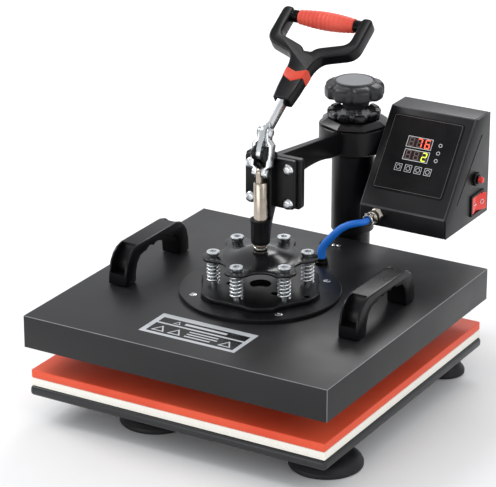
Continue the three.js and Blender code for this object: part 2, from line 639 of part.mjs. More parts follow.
function caseOutline(inset = 0) {
  const c = CASE;
  const slant = inset * 0.45;
  return [
    [c.front + inset, c.bottom + inset], [c.front + inset, c.ridge - slant],
    [c.topFront + slant, c.top - inset], [c.back - inset, c.top - inset],
    [c.back - inset, c.bottom + inset],
  ];
}

// A point of the sloping panel: x across, s up the slope from its ridge, n out of the face.
function onSlope(geometry, x, s) {
  const tilt = Math.atan2(SLOPE.y, SLOPE.x);
  return geometry.rotateX(tilt).translate(x, CASE.front + s * Math.cos(tilt),
    CASE.ridge + s * Math.sin(tilt));
}

function addCase() {
  const [x0, x1] = [CASE.left, CASE.right - CASE.cap - GAP];
  const skin = alongX(outline(caseOutline()), x0, x1);
  const hollow = alongX(outline(caseOutline(CASE.sheet)), x0 + CASE.sheet, x1 + 5);
  const cuts = [
    hollow,
    rodAlongY(SOCKET.radius - 2 + GAP, CASE.front - 5, CASE.front + 5, SOCKET.x, SOCKET.z),
    block(INLET.x - INLET.width / 2, INLET.x + INLET.width / 2, CASE.back - 5, CASE.back + 5,
      INLET.z - INLET.height / 2, INLET.z + INLET.height / 2),
  ];
  enamel('case_shell', join([skin], cuts));
  const windows = [
    block(CASE.right - 9, CASE.right + 9, ROCKER.y - ROCKER.width / 2 + 3,
      ROCKER.y + ROCKER.width / 2 - 3, ROCKER.z - ROCKER.height / 2 + 3,
      ROCKER.z + ROCKER.height / 2 - 3),
    rodAlongX(6.3, CASE.right - 9, CASE.right + 9, BREAKER.y, BREAKER.z),
  ];
  enamel('case_cap_right',
    join([alongX(outline(caseOutline()), CASE.right - CASE.cap, CASE.right)], windows));
}

function addPanel() {
  const [w, h] = [PANEL.right - PANEL.left, PANEL.high - PANEL.low];
  const face = raised(roundedRectangle(w, h, 4, 0, 0), GAP, GAP + PANEL.thickness, 0, 3);
  const middle = [(PANEL.left + PANEL.right) / 2, (PANEL.low + PANEL.high) / 2];
  const sheet = onSlope(face, ...middle);
  const cuts = [];
  for (let i = 0; i < 4; i++) {
    const x = KEY.first + i * KEY.pitch;
    const size = KEY.size / 2 + GAP;
    cuts.push(onSlope(block(-size, size, -size, size, -3, 4), x, KEY.along));
    const square = roundedRectangle(KEY.size, KEY.size, 1.5);
    const key = raised(square, GAP + 0.7, GAP + 0.7 + KEY.height, 0, 2);
    add(`key_${i + 1}`, onSlope(key, x, KEY.along), 0x3a3c40, 0.5, 0);
  }
  add('front_panel', join([sheet], cuts), 0x17181a, 0.35, 0);
  const board = block(60, 136, 0, 1.6, 0, 74);
  board.translate(0, 205, 180);
  add('control_board', board, 0x1f6b3a, 0.6, 0);
}

function addSwitches() {
  const [w, h] = [ROCKER.width, ROCKER.height];
  const frame = alongX(roundedRectangle(w, h, 2, ROCKER.y, ROCKER.z), CASE.right + GAP,
    CASE.right + 2.3, 0.4, 2);
  const barrel = block(CASE.right - 16, CASE.right + 1, ROCKER.y - w / 2 + 3.4,
    ROCKER.y + w / 2 - 3.4, ROCKER.z - h / 2 + 3.4, ROCKER.z + h / 2 - 3.4);
  const well = block(CASE.right - 11, CASE.right + 9, ROCKER.y - w / 2 + 5, ROCKER.y + w / 2 - 5,
    ROCKER.z - h / 2 + 5, ROCKER.z + h / 2 - 5);
  plastic('rocker_body', join([frame, barrel], [well]));

  const half = w / 2 - 5.6;
  const rocker = outline([
    [-half, 1.2], [0, -1], [half, 5.2], [half - 0.6, -5.2], [0, -7], [-half + 0.6, -5.2],
  ]);
  const wedge = raised(rocker, -h / 2 + 5.4, h / 2 - 5.4);
  wedge.applyMatrix4(new THREE.Matrix4().makeBasis(
    new THREE.Vector3(0, 1, 0), new THREE.Vector3(1, 0, 0), new THREE.Vector3(0, 0, -1)));
  wedge.translate(CASE.right + 1, ROCKER.y, ROCKER.z);
  add('power_rocker', wedge, 0xd8382c, 0.35, 0);

  const nutRing = new THREE.CylinderGeometry(8.6, 8.6, 3.2, 6).rotateZ(-Math.PI / 2)
    .translate(CASE.right + GAP + 1.6, BREAKER.y, BREAKER.z);
  const neck = rodAlongX(6, CASE.right - 18, CASE.right + 6, BREAKER.y, BREAKER.z, 20);
  const bore = rodAlongX(4.2, CASE.right - 10, CASE.right + 9, BREAKER.y, BREAKER.z, 20);
  plastic('breaker_body', join([nutRing, neck], [bore]));
  add('breaker_button', turnedAlongX([
    [0, CASE.right - 4], [3.9, CASE.right - 4], [3.9, CASE.right + 10], [3.3, CASE.right + 11],
    [0, CASE.right + 11],
  ], BREAKER.y, BREAKER.z, 20), 0xd23a30, 0.4, 0);
}

function addSockets() {
  const face = CASE.front;
  const r = SOCKET.radius;
  nickel('lead_socket', turnedAlongY([
    [4, face - 9.5], [r - 1, face - 9.5], [r - 0.6, face - 4.2], [r, face - 4], [r, face - GAP],
    [r - 2, face - GAP], [r - 2, face + 9], [4, face + 9], [4, face - 9.5],
  ], SOCKET.x, SOCKET.z));
  const tip = face - 27;
  nickel('lead_plug', turnedAlongY([
    [4.6, tip], [6.4, tip], [6.8, tip + 1], [6.8, tip + 6], [5.6, tip + 7], [5.6, tip + 10],
    [7.6, tip + 11], [7.6, face - 9.8], [3.7, face - 9.8], [3.7, face + 4], [0, face + 4],
    [0, tip + 6], [4.6, tip + 6], [4.6, tip],
  ], SOCKET.x, SOCKET.z));
  const [w, h] = [INLET.width, INLET.height];
  const flange = block(INLET.x - w / 2 - 4, INLET.x + w / 2 + 4, CASE.back + GAP, CASE.back + 3,
    INLET.z - h / 2 - 4, INLET.z + h / 2 + 4);
  const barrel = block(INLET.x - w / 2 + GAP, INLET.x + w / 2 - GAP, CASE.back - 18, CASE.back + 1,
    INLET.z - h / 2 + GAP, INLET.z + h / 2 - GAP);
  const well = block(INLET.x - 12, INLET.x + 12, CASE.back - 14, CASE.back + 9,
    INLET.z - 8.5, INLET.z + 8.5);
  plastic('power_inlet', join([flange, barrel], [well]));
}

// The sleeved heater lead, from the plug in a quarter turn down to the gland on the cover.
function addHeaterLead() {
  const atPlug = [[67, 88, 185], [67, 84.5, 185], [65.6, 81, 184.8], [61.5, 78.6, 184.2]];
  const bow = [[55.5, 77, 182.6], [48, 75.4, 179.6], [40.5, 73.8, 174.8], [34, 72, 168.6]];
  const drop = [[28.2, 69.6, 161.4], [22.6, 67, 154], [19.8, 65.6, 148.5], [19.1, 65.1, 145.5]];
  const throughGland = [[19, 65, 140], [19, 65, 131.5]];
  const route = [...atPlug, ...bow, ...drop, ...throughGland];
  const path = new THREE.CatmullRomCurve3(route.map((p) => new THREE.Vector3(...p)));
  const section = new THREE.Shape();
  section.absarc(0, 0, 4, 0, Math.PI * 2);
  const cord = new THREE.ExtrudeGeometry(section, { steps: 24, extrudePath: path, curveSegments: 4 });
  add('heater_lead', cord, 0x1c7fd6, 0.6, 0);
}

addBed();
addFrame();
addFeet();
addColumn();
addLockRing();
addKnob();
addArm();
addHousing();
addLever();
addHandle();
addLinks();
addPlunger();
addDomePlate();
addFlange();
addSpringBolts();
addSprings();
addPlaten();
addPulls();
addCase();
addPanel();
addSwitches();
addSockets();
addHeaterLead();

export default press;
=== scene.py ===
# %% [markdown]
# A swing-away heat press. A padded bed stands on rubber feet, a round column rises behind it, and an
# arm on the column carries a toggle lever, a sprung heating platen and a control box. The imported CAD
# model gives every piece its place; this file gives the pieces their finished shapes and surfaces.

import math

import bpy
from mathutils import Matrix, Vector


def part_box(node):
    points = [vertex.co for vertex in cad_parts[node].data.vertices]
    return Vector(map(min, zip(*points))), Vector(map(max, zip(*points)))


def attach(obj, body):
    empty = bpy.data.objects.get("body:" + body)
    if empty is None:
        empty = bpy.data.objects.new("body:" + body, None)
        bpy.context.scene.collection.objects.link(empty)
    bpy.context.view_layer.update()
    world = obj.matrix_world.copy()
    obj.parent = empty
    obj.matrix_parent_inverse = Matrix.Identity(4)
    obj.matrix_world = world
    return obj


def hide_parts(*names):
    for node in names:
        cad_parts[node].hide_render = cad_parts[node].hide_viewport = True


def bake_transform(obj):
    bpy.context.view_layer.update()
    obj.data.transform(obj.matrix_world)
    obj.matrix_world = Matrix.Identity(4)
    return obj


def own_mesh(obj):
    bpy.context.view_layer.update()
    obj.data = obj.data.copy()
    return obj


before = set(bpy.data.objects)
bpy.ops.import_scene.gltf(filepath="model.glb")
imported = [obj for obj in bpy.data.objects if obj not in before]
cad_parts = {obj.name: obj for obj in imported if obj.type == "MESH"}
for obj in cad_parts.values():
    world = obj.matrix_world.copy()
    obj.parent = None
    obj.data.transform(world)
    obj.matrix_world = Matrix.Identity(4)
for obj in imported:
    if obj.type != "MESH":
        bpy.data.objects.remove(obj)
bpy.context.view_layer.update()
MM = 0.001
COLUMN = (0, 177)  # axes seen from above, in mm
PLUNGER = (0, -45)
GLAND = (19, 65)
SOCKET = (67, 0, 185)
BREAKER = (0, 189.5, 221.5)

# %% [markdown]
# The camera is set first. It stands to the right of the press and looks down a little through a long
# lens, which keeps the edges of the bed almost parallel. Its axes are written as a matrix, because
# that leaves no doubt about roll.

# %% Camera
camera_data = bpy.data.cameras.new("camera")
camera_data.lens = 189.33
camera_data.sensor_width = 36
camera_data.clip_end = 20
camera = bpy.data.objects.new("camera", camera_data)
bpy.context.scene.collection.objects.link(camera)
forward = Vector((-0.47037, 0.80022, -0.37203)).normalized()
sideways = forward.cross(Vector((0, 0, 1))).normalized()
upward = sideways.cross(forward)
axes = Matrix((sideways, upward, -forward)).transposed()
camera.matrix_world = Matrix.Translation((1.3865, -2.432, 1.2949)) @ axes.to_4x4()
bpy.context.scene.camera = camera

# %% [markdown]
# Every finish is written down as the real surface: what it is made of and how it was made. Colours
# are sRGB hex values, which one function turns to linear light. One more function adds a node with
# its settings and its links.

# %% Material helpers
def linear(hex_colour):
    channels = [int(hex_colour[i:i + 2], 16) / 255 for i in (1, 3, 5)]
    return [c / 12.92 if c <= 0.04045 else ((c + 0.055) / 1.055) ** 2.4 for c in channels] + [1]


def add_node(tree, kind, settings, links=None):
    node = tree.nodes.new(kind)
    for key, value in settings.items():
        if hasattr(node, key):
            setattr(node, key, value)
        else:
            node.inputs[key].default_value = value
    for socket, source in (links or {}).items():
        tree.links.new(source, node.inputs[socket])
    return node


def surface(name, roughness, metallic=0.0, ior=1.5):
    material = bpy.data.materials.new(name)
    material.use_nodes = True
    shader = material.node_tree.nodes["Principled BSDF"]
    shader.inputs["Roughness"].default_value = roughness
    shader.inputs["Metallic"].default_value = metallic
    if not metallic:
        shader.inputs["IOR"].default_value = ior
    return material, material.node_tree, shader


def grained(name, colours, roughness, metallic=0.0, grain=0.6, depth=0.02, patch=25, ior=1.5,
            stretch=(1, 1, 1)):
    """Fine grain in the bump, and slow patches in the colour and the roughness. Sizes are in mm."""
    material, tree, shader = surface(name, roughness[0], metallic, ior)
    place = add_node(tree, "ShaderNodeTexCoord", {})
    turned_place = add_node(tree, "ShaderNodeMapping", {"Scale": stretch},
                            {"Vector": place.outputs["Object"]})
    fine = add_node(tree, "ShaderNodeTexNoise", {"Scale": 1000 / grain, "Detail": 3.0},
                    {"Vector": turned_place.outputs["Vector"]})
    slow = add_node(tree, "ShaderNodeTexNoise", {"Scale": 1000 / patch, "Detail": 4.0},
                    {"Vector": turned_place.outputs["Vector"]})
    ramp = add_node(tree, "ShaderNodeValToRGB", {}, {"Fac": slow.outputs["Fac"]})
    ramp.color_ramp.elements[0].position, ramp.color_ramp.elements[1].position = 0.35, 0.65
    ramp.color_ramp.elements[0].color = linear(colours[0])
    ramp.color_ramp.elements[1].color = linear(colours[1])
    gloss = add_node(tree, "ShaderNodeMapRange",
                     {"From Min": 0.3, "From Max": 0.7, "To Min": roughness[0], "To Max": roughness[1]},
                     {"Value": slow.outputs["Fac"]})
    bump = add_node(tree, "ShaderNodeBump", {"Strength": 0.6, "Distance": depth * MM},
                    {"Height": fine.outputs["Fac"]})
    tree.links.new(ramp.outputs["Color"], shader.inputs["Base Color"])
    tree.links.new(gloss.outputs["Result"], shader.inputs["Roughness"])
    tree.links.new(bump.outputs["Normal"], shader.inputs["Normal"])
    return material

# %% [markdown]
# Painted steel. Polyester powder coat is sprayed dry and baked, so it flows into a fine orange peel
# about a millimetre across. The platen cover is a satin coat, while the dome and the lock ring are
# glossier, so they take sharper glints. The narrow faces along the folds of the cover and the box get
# a pale grey of their own, which is a painted highlight along those edges.

# %% Powder coats
powder_coat = grained("black_powder_coat", ("#0a0a0c", "#0e0e10"), (0.28, 0.36), grain=0.9, depth=0.03,
                      ior=1.33)
cover_coat = grained("satin_cover_coat", ("#131315", "#171719"), (0.36, 0.44), grain=0.7, depth=0.03,
                     patch=60, ior=1.42)
gloss_coat = grained("gloss_black_coat", ("#0b0b0d", "#101012"), (0.16, 0.24), grain=2.5, depth=0.02,
                     ior=1.45)
box_coat = grained("fine_texture_box_coat", ("#101012", "#151517"), (0.36, 0.44), grain=0.6, depth=0.04,
                   ior=1.4)
# Pale grey for the narrow faces along the folds of the cover and the box: a painted highlight on those
# edges.
fold_edge_highlight_paint = grained("painted_highlight_on_folds", ("#77797c", "#8a8c8f"), (0.30, 0.38), grain=0.7, depth=0.02)
box_fold_highlight_paint = grained("painted_highlight_on_box_folds", ("#36373a", "#414246"), (0.30, 0.38), grain=0.7,
                        depth=0.02)
bed_coat = grained("dark_grey_bed_coat", ("#18191b", "#1e1f21"), (0.32, 0.42), grain=0.9, depth=0.03)

# %% [markdown]
# Bright metals. Zinc plate is a thin bluish coat with a faint crystalline patchiness. Nickel on the
# plunger is warmer and was turned on a lathe, so its grain is stretched round the axis by squeezing
# the pattern upright.

# %% Metals
zinc = grained("bright_zinc_plate", ("#ced1d4", "#dadcde"), (0.20, 0.27), metallic=1, grain=1.2,
               depth=0.008, patch=24)
spring_zinc = grained("zinc_plated_spring_wire", ("#dfe2e4", "#eceeef"), (0.24, 0.32), metallic=1,
                      grain=0.8, depth=0.01, patch=6)
nickel = grained("turned_nickel_plate", ("#a79c90", "#b3a89c"), (0.20, 0.26), metallic=1, grain=0.9,
                 depth=0.002, patch=30, stretch=(0.15, 0.15, 3))
connector_nickel = grained("connector_nickel", ("#b5aea2", "#d0cabf"), (0.16, 0.26), metallic=1,
                           grain=0.8, depth=0.01, patch=4)
brass = grained("machined_brass", ("#a07c3c", "#b8924c"), (0.25, 0.38), metallic=1, patch=5)
cast_aluminium = grained("non_stick_casting", ("#3c3e41", "#4a4c50"), (0.42, 0.55), metallic=0.6,
                         grain=1.4, depth=0.05)

# %% [markdown]
# Plastics and rubbers. Moulded nylon and ABS carry the spark-eroded texture of the mould, a fine
# sparkle well under a millimetre. Rubber feet are duller and a little dusty. The orange sheet is
# cast silicone rubber, and it is matt to the touch.

# %% Plastics and rubbers
nylon = grained("moulded_black_nylon", ("#08080a", "#0c0c0e"), (0.26, 0.34), grain=0.5, depth=0.03,
                ior=1.3)
knob_plastic = grained("moulded_charcoal_nylon", ("#17181a", "#1d1e20"), (0.36, 0.46), grain=0.5,
                       depth=0.05)
disc_plastic = grained("grey_knob_disc", ("#5c5e62", "#686a6e"), (0.34, 0.42), grain=0.5, depth=0.03)
grip_rubber = grained("salmon_grip_rubber", ("#dd4f40", "#e85d4b"), (0.50, 0.62), grain=0.6, depth=0.08,
                      ior=1.4)
band_plastic = grained("orange_band_plastic", ("#cf3a22", "#d8452b"), (0.40, 0.5), grain=0.5, depth=0.04,
                       ior=1.4)
foot_rubber = grained("black_rubber", ("#121214", "#1a1a1c"), (0.48, 0.66), grain=0.8, depth=0.06,
                      ior=1.4)
silicone = grained("orange_silicone_rubber", ("#e24e30", "#ea5b3b"), (0.46, 0.58), grain=1.0, depth=0.06,
                   patch=70, ior=1.4)
red_plastic = grained("red_switch_plastic", ("#e02a20", "#ee3a2c"), (0.22, 0.30), grain=1.2, depth=0.01)
wool = grained("ceramic_fibre_blanket", ("#d9d2bf", "#ece6d6"), (0.9, 0.95), grain=1.5, depth=0.4,
               patch=9)
board_lacquer = grained("green_board_lacquer", ("#14502c", "#1b6638"), (0.3, 0.4), patch=4)
print("finishes so far:", len(bpy.data.materials))

# %% [markdown]
# The white sheet is cut from silicone foam. Its cells are about 1.4 mm wide and slightly sunk in their
# middles, which get a painted shade, so one cell pattern drives both the colour and the bump.

# %% White silicone foam
foam, foam_tree, foam_shader = surface("white_silicone_foam", 0.85)
foam_place = add_node(foam_tree, "ShaderNodeTexCoord", {})
foam_cells = add_node(foam_tree, "ShaderNodeTexVoronoi", {"Scale": 1000 / 1.4},
                      {"Vector": foam_place.outputs["Object"]})
# The darker grey at the middle of each cell is painted shade in the sunk pit.
foam_pit_shade_ramp = add_node(foam_tree, "ShaderNodeValToRGB", {}, {"Fac": foam_cells.outputs["Distance"]})
foam_pit_shade_ramp.color_ramp.elements[0].color = linear("#d8d4c6")
foam_pit_shade_ramp.color_ramp.elements[1].color = linear("#f6f3ea")
foam_pit_shade_ramp.color_ramp.elements[1].position = 0.35
foam_bump = add_node(foam_tree, "ShaderNodeBump", {"Strength": 0.5, "Distance": 0.2 * MM},
                     {"Height": foam_cells.outputs["Distance"]})
foam_tree.links.new(foam_pit_shade_ramp.outputs["Color"], foam_shader.inputs["Base Color"])
foam_tree.links.new(foam_bump.outputs["Normal"], foam_shader.inputs["Normal"])

# %% [markdown]
# The heater lead is wrapped in a woven silicone-coated sleeve. Two crossed waves along and round the
# tube give the plait, with a pitch of about 2 mm so that it can be seen.

# %% Blue sleeve
sleeve, sleeve_tree, sleeve_shader = surface("blue_silicone_sleeve", 0.5)
sleeve_place = add_node(sleeve_tree, "ShaderNodeTexCoord", {})
sleeve_wave = add_node(sleeve_tree, "ShaderNodeTexWave",
                       {"Scale": 1000 / 2.2 / 3, "Distortion": 1.5, "bands_direction": "DIAGONAL"},
                       {"Vector": sleeve_place.outputs["Object"]})
sleeve_ramp = add_node(sleeve_tree, "ShaderNodeValToRGB", {}, {"Fac": sleeve_wave.outputs["Fac"]})
sleeve_ramp.color_ramp.elements[0].color = linear("#0060c8")
sleeve_ramp.color_ramp.elements[1].color = linear("#1480ea")
sleeve_bump = add_node(sleeve_tree, "ShaderNodeBump", {"Strength": 0.4, "Distance": 0.15 * MM},
                       {"Height": sleeve_wave.outputs["Fac"]})
sleeve_tree.links.new(sleeve_ramp.outputs["Color"], sleeve_shader.inputs["Base Color"])
sleeve_tree.links.new(sleeve_bump.outputs["Normal"], sleeve_shader.inputs["Normal"])

# %% [markdown]
# The panel: a smooth polyester overlay with printed white lines, and lamps behind dark windows. The
# lit segments give off light, so they have emission as well as a colour.

# %% Panel finishes
overlay = grained("printed_polyester_overlay", ("#0a0a0c", "#0f0f11"), (0.22, 0.30), grain=1.5,
                  depth=0.005, ior=1.3)
window_tint = grained("smoked_red_window", ("#2a1416", "#33191b"), (0.12, 0.18), depth=0.002)
dim_segment = grained("unlit_segment", ("#5f5a58", "#6c6664"), (0.4, 0.5), depth=0.002)
white_ink = grained("white_printed_ink", ("#c9cacc", "#dedfe0"), (0.45, 0.55), depth=0.005)
label_foil = grained("silver_label_foil", ("#b4b7bb", "#c0c3c6"), (0.34, 0.42), metallic=0.1,
                     grain=0.8, depth=0.01, stretch=(0.1, 1, 1))


def lamp(name, colour, strength):
    material, tree, shader = surface(name, 0.4)
    place = add_node(tree, "ShaderNodeTexCoord", {})
    glow = add_node(tree, "ShaderNodeTexNoise", {"Scale": 600.0}, {"Vector": place.outputs["Object"]})
    ramp = add_node(tree, "ShaderNodeValToRGB", {}, {"Fac": glow.outputs["Fac"]})
    ramp.color_ramp.elements[0].color = linear(colour[0])
    ramp.color_ramp.elements[1].color = linear(colour[1])
    tree.links.new(ramp.outputs["Color"], shader.inputs["Base Color"])
    tree.links.new(ramp.outputs["Color"], shader.inputs["Emission Color"])
    shader.inputs["Emission Strength"].default_value = strength
    return material


red_lamp = lamp("red_segment", ("#ff2a1a", "#ff6a50"), 2.2)
green_lamp = lamp("green_segment", ("#b4d820", "#dcf04a"), 1.6)

# %% [markdown]
# Modelling helpers. A turned piece starts as one point, which is extruded along its profile and spun
# round an axis. A plate starts the same way, but its outline is filled and pushed to a thickness.
# Blocks start from a cube at the size and place of a CAD node and get rounded edges.

# %% Modelling helpers
AXES = {"X": (Vector((1, 0, 0)), Vector((0, 1, 0))), "Y": (Vector((0, 1, 0)), Vector((1, 0, 0))),
        "Z": (Vector((0, 0, 1)), Vector((1, 0, 0)))}


def at(x, y, z):
    return Vector((x, y, z)) * MM


def clear_selection():
    if bpy.context.object and bpy.context.object.mode != "OBJECT":
        bpy.ops.object.mode_set(mode="OBJECT")
    bpy.ops.object.select_all(action="DESELECT")


def draw_line(points):
    """One point extruded along a line of places, left in edit mode."""
    clear_selection()
    bpy.ops.mesh.primitive_plane_add(size=MM, location=points[0])
    bpy.ops.object.mode_set(mode="EDIT")
    bpy.ops.mesh.select_mode(type="VERT")
    bpy.ops.mesh.merge(type="CENTER")
    for start, end in zip(points, points[1:]):
        bpy.ops.mesh.extrude_region_move(TRANSFORM_OT_translate={"value": end - start})
    bpy.ops.mesh.select_all(action="SELECT")


def turn(profile, centre, axis="Z", steps=64):
    """Spins a profile of (radius, height) pairs in mm about an axis through centre, also in mm."""
    along, out = AXES[axis]
    middle = at(*centre)
    draw_line([middle + out * r * MM + along * h * MM for r, h in profile])
    bpy.ops.mesh.spin(steps=steps, angle=2 * math.pi, center=middle, axis=along)
    bpy.ops.mesh.select_all(action="SELECT")
    bpy.ops.mesh.remove_doubles(threshold=0.004 * MM)
    bpy.ops.mesh.normals_make_consistent(inside=False)
    bpy.ops.object.mode_set(mode="OBJECT")
    return bpy.context.object


def plate(points, push):
    """Fills an outline of places in metres and pushes it by a vector."""
    draw_line(points + [points[0]])
    bpy.ops.mesh.remove_doubles(threshold=0.004 * MM)
    bpy.ops.mesh.select_all(action="SELECT")
    bpy.ops.mesh.edge_face_add()
    bpy.ops.mesh.extrude_region_move(TRANSFORM_OT_translate={"value": push})
    bpy.ops.mesh.select_all(action="SELECT")
    bpy.ops.mesh.normals_make_consistent(inside=False)
    bpy.ops.object.mode_set(mode="OBJECT")
    return bpy.context.object


def block(low, high):
    """A cube between two corners, in mm."""
    clear_selection()
    middle = [(a + b) / 2 * MM for a, b in zip(low, high)]
    bpy.ops.mesh.primitive_cube_add(size=1, location=middle)
    piece = bpy.context.object
    piece.scale = [(b - a) * MM for a, b in zip(low, high)]
    bpy.ops.object.transform_apply(location=True, rotation=True, scale=True)
    return piece


def node_block(node, grow=0.0):
    low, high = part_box(node)
    return block([v / MM - grow for v in low], [v / MM + grow for v in high])


def soften(width, segments=3, angle=30):
    """Rounds the edges that turn by more than an angle; width is in mm."""
    piece = bpy.context.object
    bevel = piece.modifiers.new("soften", "BEVEL")
    bevel.width = width * MM
    bevel.segments = segments
    bevel.limit_method = "ANGLE"
    bevel.angle_limit = math.radians(angle)
    bevel.use_clamp_overlap = True
    bpy.ops.object.modifier_apply(modifier=bevel.name)
    return piece


def pick(kind, test):
    """Edit mode with only the vertices or faces that pass a test on their place, in mm."""
    mesh = bpy.context.object.data
    origin = bpy.context.object.matrix_world.translation
    if bpy.context.object.mode != "OBJECT":
        bpy.ops.object.mode_set(mode="OBJECT")
    for part in (*mesh.vertices, *mesh.edges, *mesh.polygons):
        part.select = False
    for part in (mesh.polygons if kind == "FACE" else mesh.vertices):
        place = part.center if kind == "FACE" else part.co
        part.select = test((place + origin) / MM, part.normal)
    bpy.context.tool_settings.mesh_select_mode = [kind == mode for mode in ("VERT", "EDGE", "FACE")]
    bpy.ops.object.mode_set(mode="EDIT")


def top_face(place, normal):
    return normal.z > 0.9


def paint_selected(index):
    bpy.context.object.active_material_index = index
    bpy.ops.object.material_slot_assign()


def unite(*pieces):
    clear_selection()
    for piece in pieces:
        piece.select_set(True)
    bpy.context.view_layer.objects.active = pieces[0]
    bpy.ops.object.join()
    return bpy.context.object


def cut(piece, cutter):
    """Takes the cutter's shape out of a piece and removes the cutter."""
    clear_selection()
    bpy.context.view_layer.objects.active = piece
    piece.select_set(True)
    boolean = piece.modifiers.new("cut", "BOOLEAN")
    boolean.object = cutter
    boolean.solver = "EXACT"
    bpy.ops.object.modifier_apply(modifier=boolean.name)
    bpy.data.objects.remove(cutter)
    return piece


def finished(name, body, material, stands_for=(), smooth=32):
    """Names a piece, puts its place in its mesh, gives it its finish and lets it ride on a body."""
    if bpy.context.object.mode != "OBJECT":
        bpy.ops.object.mode_set(mode="OBJECT")
    piece = bpy.context.object
    piece.select_set(True)
    piece.name = name
    piece.data.name = name
    bpy.ops.object.transform_apply(location=True, rotation=True, scale=True)
    if material:
        piece.data.materials.clear()
        piece.data.materials.append(material)
    bpy.ops.object.shade_smooth_by_angle(angle=math.radians(smooth))
    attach(piece, body)
    if stands_for:
        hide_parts(*stands_for)
    print(f"{name}: {len(piece.data.polygons)} faces on {body}")
    return piece


def refined(node, body, material, width, segments=2, angle=40):
    """A merged copy of a CAD node with flat areas cleaned and its edges rounded."""
    clear_selection()
    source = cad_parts[node]
    copy = bpy.data.objects.new(node + "_made", source.data.copy())
    bpy.context.scene.collection.objects.link(copy)
    bpy.context.view_layer.objects.active = copy
    copy.select_set(True)
    bpy.ops.object.mode_set(mode="EDIT")
    bpy.ops.mesh.select_all(action="SELECT")
    bpy.ops.mesh.remove_doubles(threshold=0.01 * MM)
    bpy.ops.mesh.dissolve_limited(angle_limit=math.radians(1))
    bpy.ops.mesh.customdata_custom_splitnormals_clear()
    bpy.ops.object.mode_set(mode="OBJECT")
    soften(width, segments, angle)
    return finished(node + "_made", body, material, (node,))

# %% [markdown]
# The lead is the one cord. It leaves the plug on the control box, bows over and drops through a gland
# in the platen cover, about 0.1 m in all. A round section follows a smooth curve from the arm down to
# the plunger, which carries the platen down.

# %% Heater lead
LEAD_ROUTE = [
    (67, 88, 185), (67, 84.5, 185), (65.6, 81, 184.8), (61.5, 78.6, 184.2), (55.5, 77, 182.6),
    (48, 75.4, 179.6), (40.5, 73.8, 174.8), (34, 72, 168.6), (28.2, 69.6, 161.4), (22.6, 67, 154),
    (19.8, 65.6, 148.5), (19.1, 65.1, 145.5), (19, 65, 140), (19, 65, 131.5),
]
lead_points = [at(*place) for place in LEAD_ROUTE]
clear_selection()
lead_curve = bpy.data.curves.new("lead", "CURVE")
lead_curve.dimensions = "3D"
lead_curve.bevel_depth = 4 * MM
lead_curve.bevel_resolution = 6
lead_curve.use_fill_caps = True
lead_line = lead_curve.splines.new("POLY")
lead_line.points.add(len(lead_points) - 1)
for step, (point, place) in enumerate(zip(lead_line.points, lead_points)):
    point.co = (*place, 1)
    point.radius = 0.9 + 0.45 * step / len(lead_points)
lead = bpy.data.objects.new("lead", lead_curve)
bpy.context.scene.collection.objects.link(lead)
bpy.context.view_layer.objects.active = lead
lead.select_set(True)
bpy.ops.object.convert(target="MESH")
lead = bpy.context.object
lead.name = "heater_lead_sleeve"
lead.data.materials.clear()
lead.data.materials.append(sleeve)
bpy.ops.object.shade_smooth_by_angle(angle=math.radians(60))
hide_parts("heater_lead")
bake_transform(lead)

# %% [markdown]
# The bed: a 12 mm steel plate with rolled edges, a white foam sheet and an orange silicone sheet on
# it. Under it run two box-section rails, and a smaller plate behind carries the column.

# %% Bed, pads and rails
node_block("bed_plate")
bpy.ops.object.mode_set(mode="OBJECT")
soften(4.5, 4)
finished("bed_plate_rolled", "base", bed_coat, ("bed_plate",))
node_block("foam_pad")
soften(0.8, 2)
foam_sheet = finished("foam_sheet", "base", foam, ("foam_pad",))
node_block("silicone_pad")
soften(1.2, 3)
finished("silicone_sheet", "base", silicone, ("silicone_pad",))
for rail in ("left_rail", "right_rail"):
    node_block(rail)
    soften(2, 3)
    finished(rail + "_section", "base", powder_coat, (rail,))
node_block("column_plate")
soften(1.6, 3)
finished("column_plate_sheet", "base", powder_coat, ("column_plate",))

# %% [markdown]
# The feet are moulded rubber suckers: a wide flexible rim, a domed skirt with a step, and a boss that
# takes the screw. They are turned shapes. The back feet are smaller than the front ones, so the
# profile is worked out from the radius of the rim and spun four times.

# %% Feet
def foot_profile(rim):
    """Sucker from its hollow underside over the rim, the skirt and the boss to the top."""
    boss = 0.44 * rim
    return [(0, 5.9), (0.6 * rim, 5.9), (rim - 5, 0), (rim - 0.8, 0), (rim, 0.8), (rim, 4),
            (rim - 1.2, 6.4), (rim - 2.8, 7.6), (rim - 3.2, 8.8), (0.8 * rim, 12), (0.7 * rim, 13.8),
            (boss + 3, 15.4), (boss + 0.8, 17.2), (boss, 19), (boss, 29.7), (0, 29.7)]


for foot in ("foot_front_left", "foot_front_right", "foot_back_left", "foot_back_right"):
    low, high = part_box(foot)
    centre = ((low + high) / 2) / MM
    turn(foot_profile((high.x - low.x) / 2 / MM), (centre.x, centre.y, 0), steps=64)
    finished(foot + "_sucker", "base", foot_rubber, (foot,), smooth=40)

# %% [markdown]
# The column is two tubes: a solid post bolted to its plate, and a wider sleeve that carries a collar
# for the arm's hub. Long soft highlights run down them, so they need many steps round.

# %% Column
turn([(0, 49), (21.5, 49), (21.5, 133), (19.9, 133.2), (19.9, 175), (0, 175)], (*COLUMN, 0), steps=96)
post = bpy.context.object
low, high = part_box("column_post")
flange = block((low.x / MM, low.y / MM, 40.3), (high.x / MM, high.y / MM, 50.2))
soften(1.5, 3)
unite(post, flange)
finished("column_post_turned", "base", powder_coat, ("column_post",))
turn([(20.4, 133.4), (25.4, 133.4), (26, 134), (26, 231), (29, 233), (29, 237.6), (26, 237.6),
      (26, 264.5), (24.6, 266), (20.4, 266), (20.4, 133.4)], (*COLUMN, 0), steps=96)
finished("column_sleeve", "base", powder_coat, ("column_tube",))
for x in (-20, 20):
    turn([(0, 50.4), (6.4, 50.4), (6.4, 54.6), (5.6, 55.6), (0, 55.8)], (x, 222, 0), steps=6)
    finished(f"flange_bolt_{'left' if x < 0 else 'right'}", "base", zinc, smooth=20)

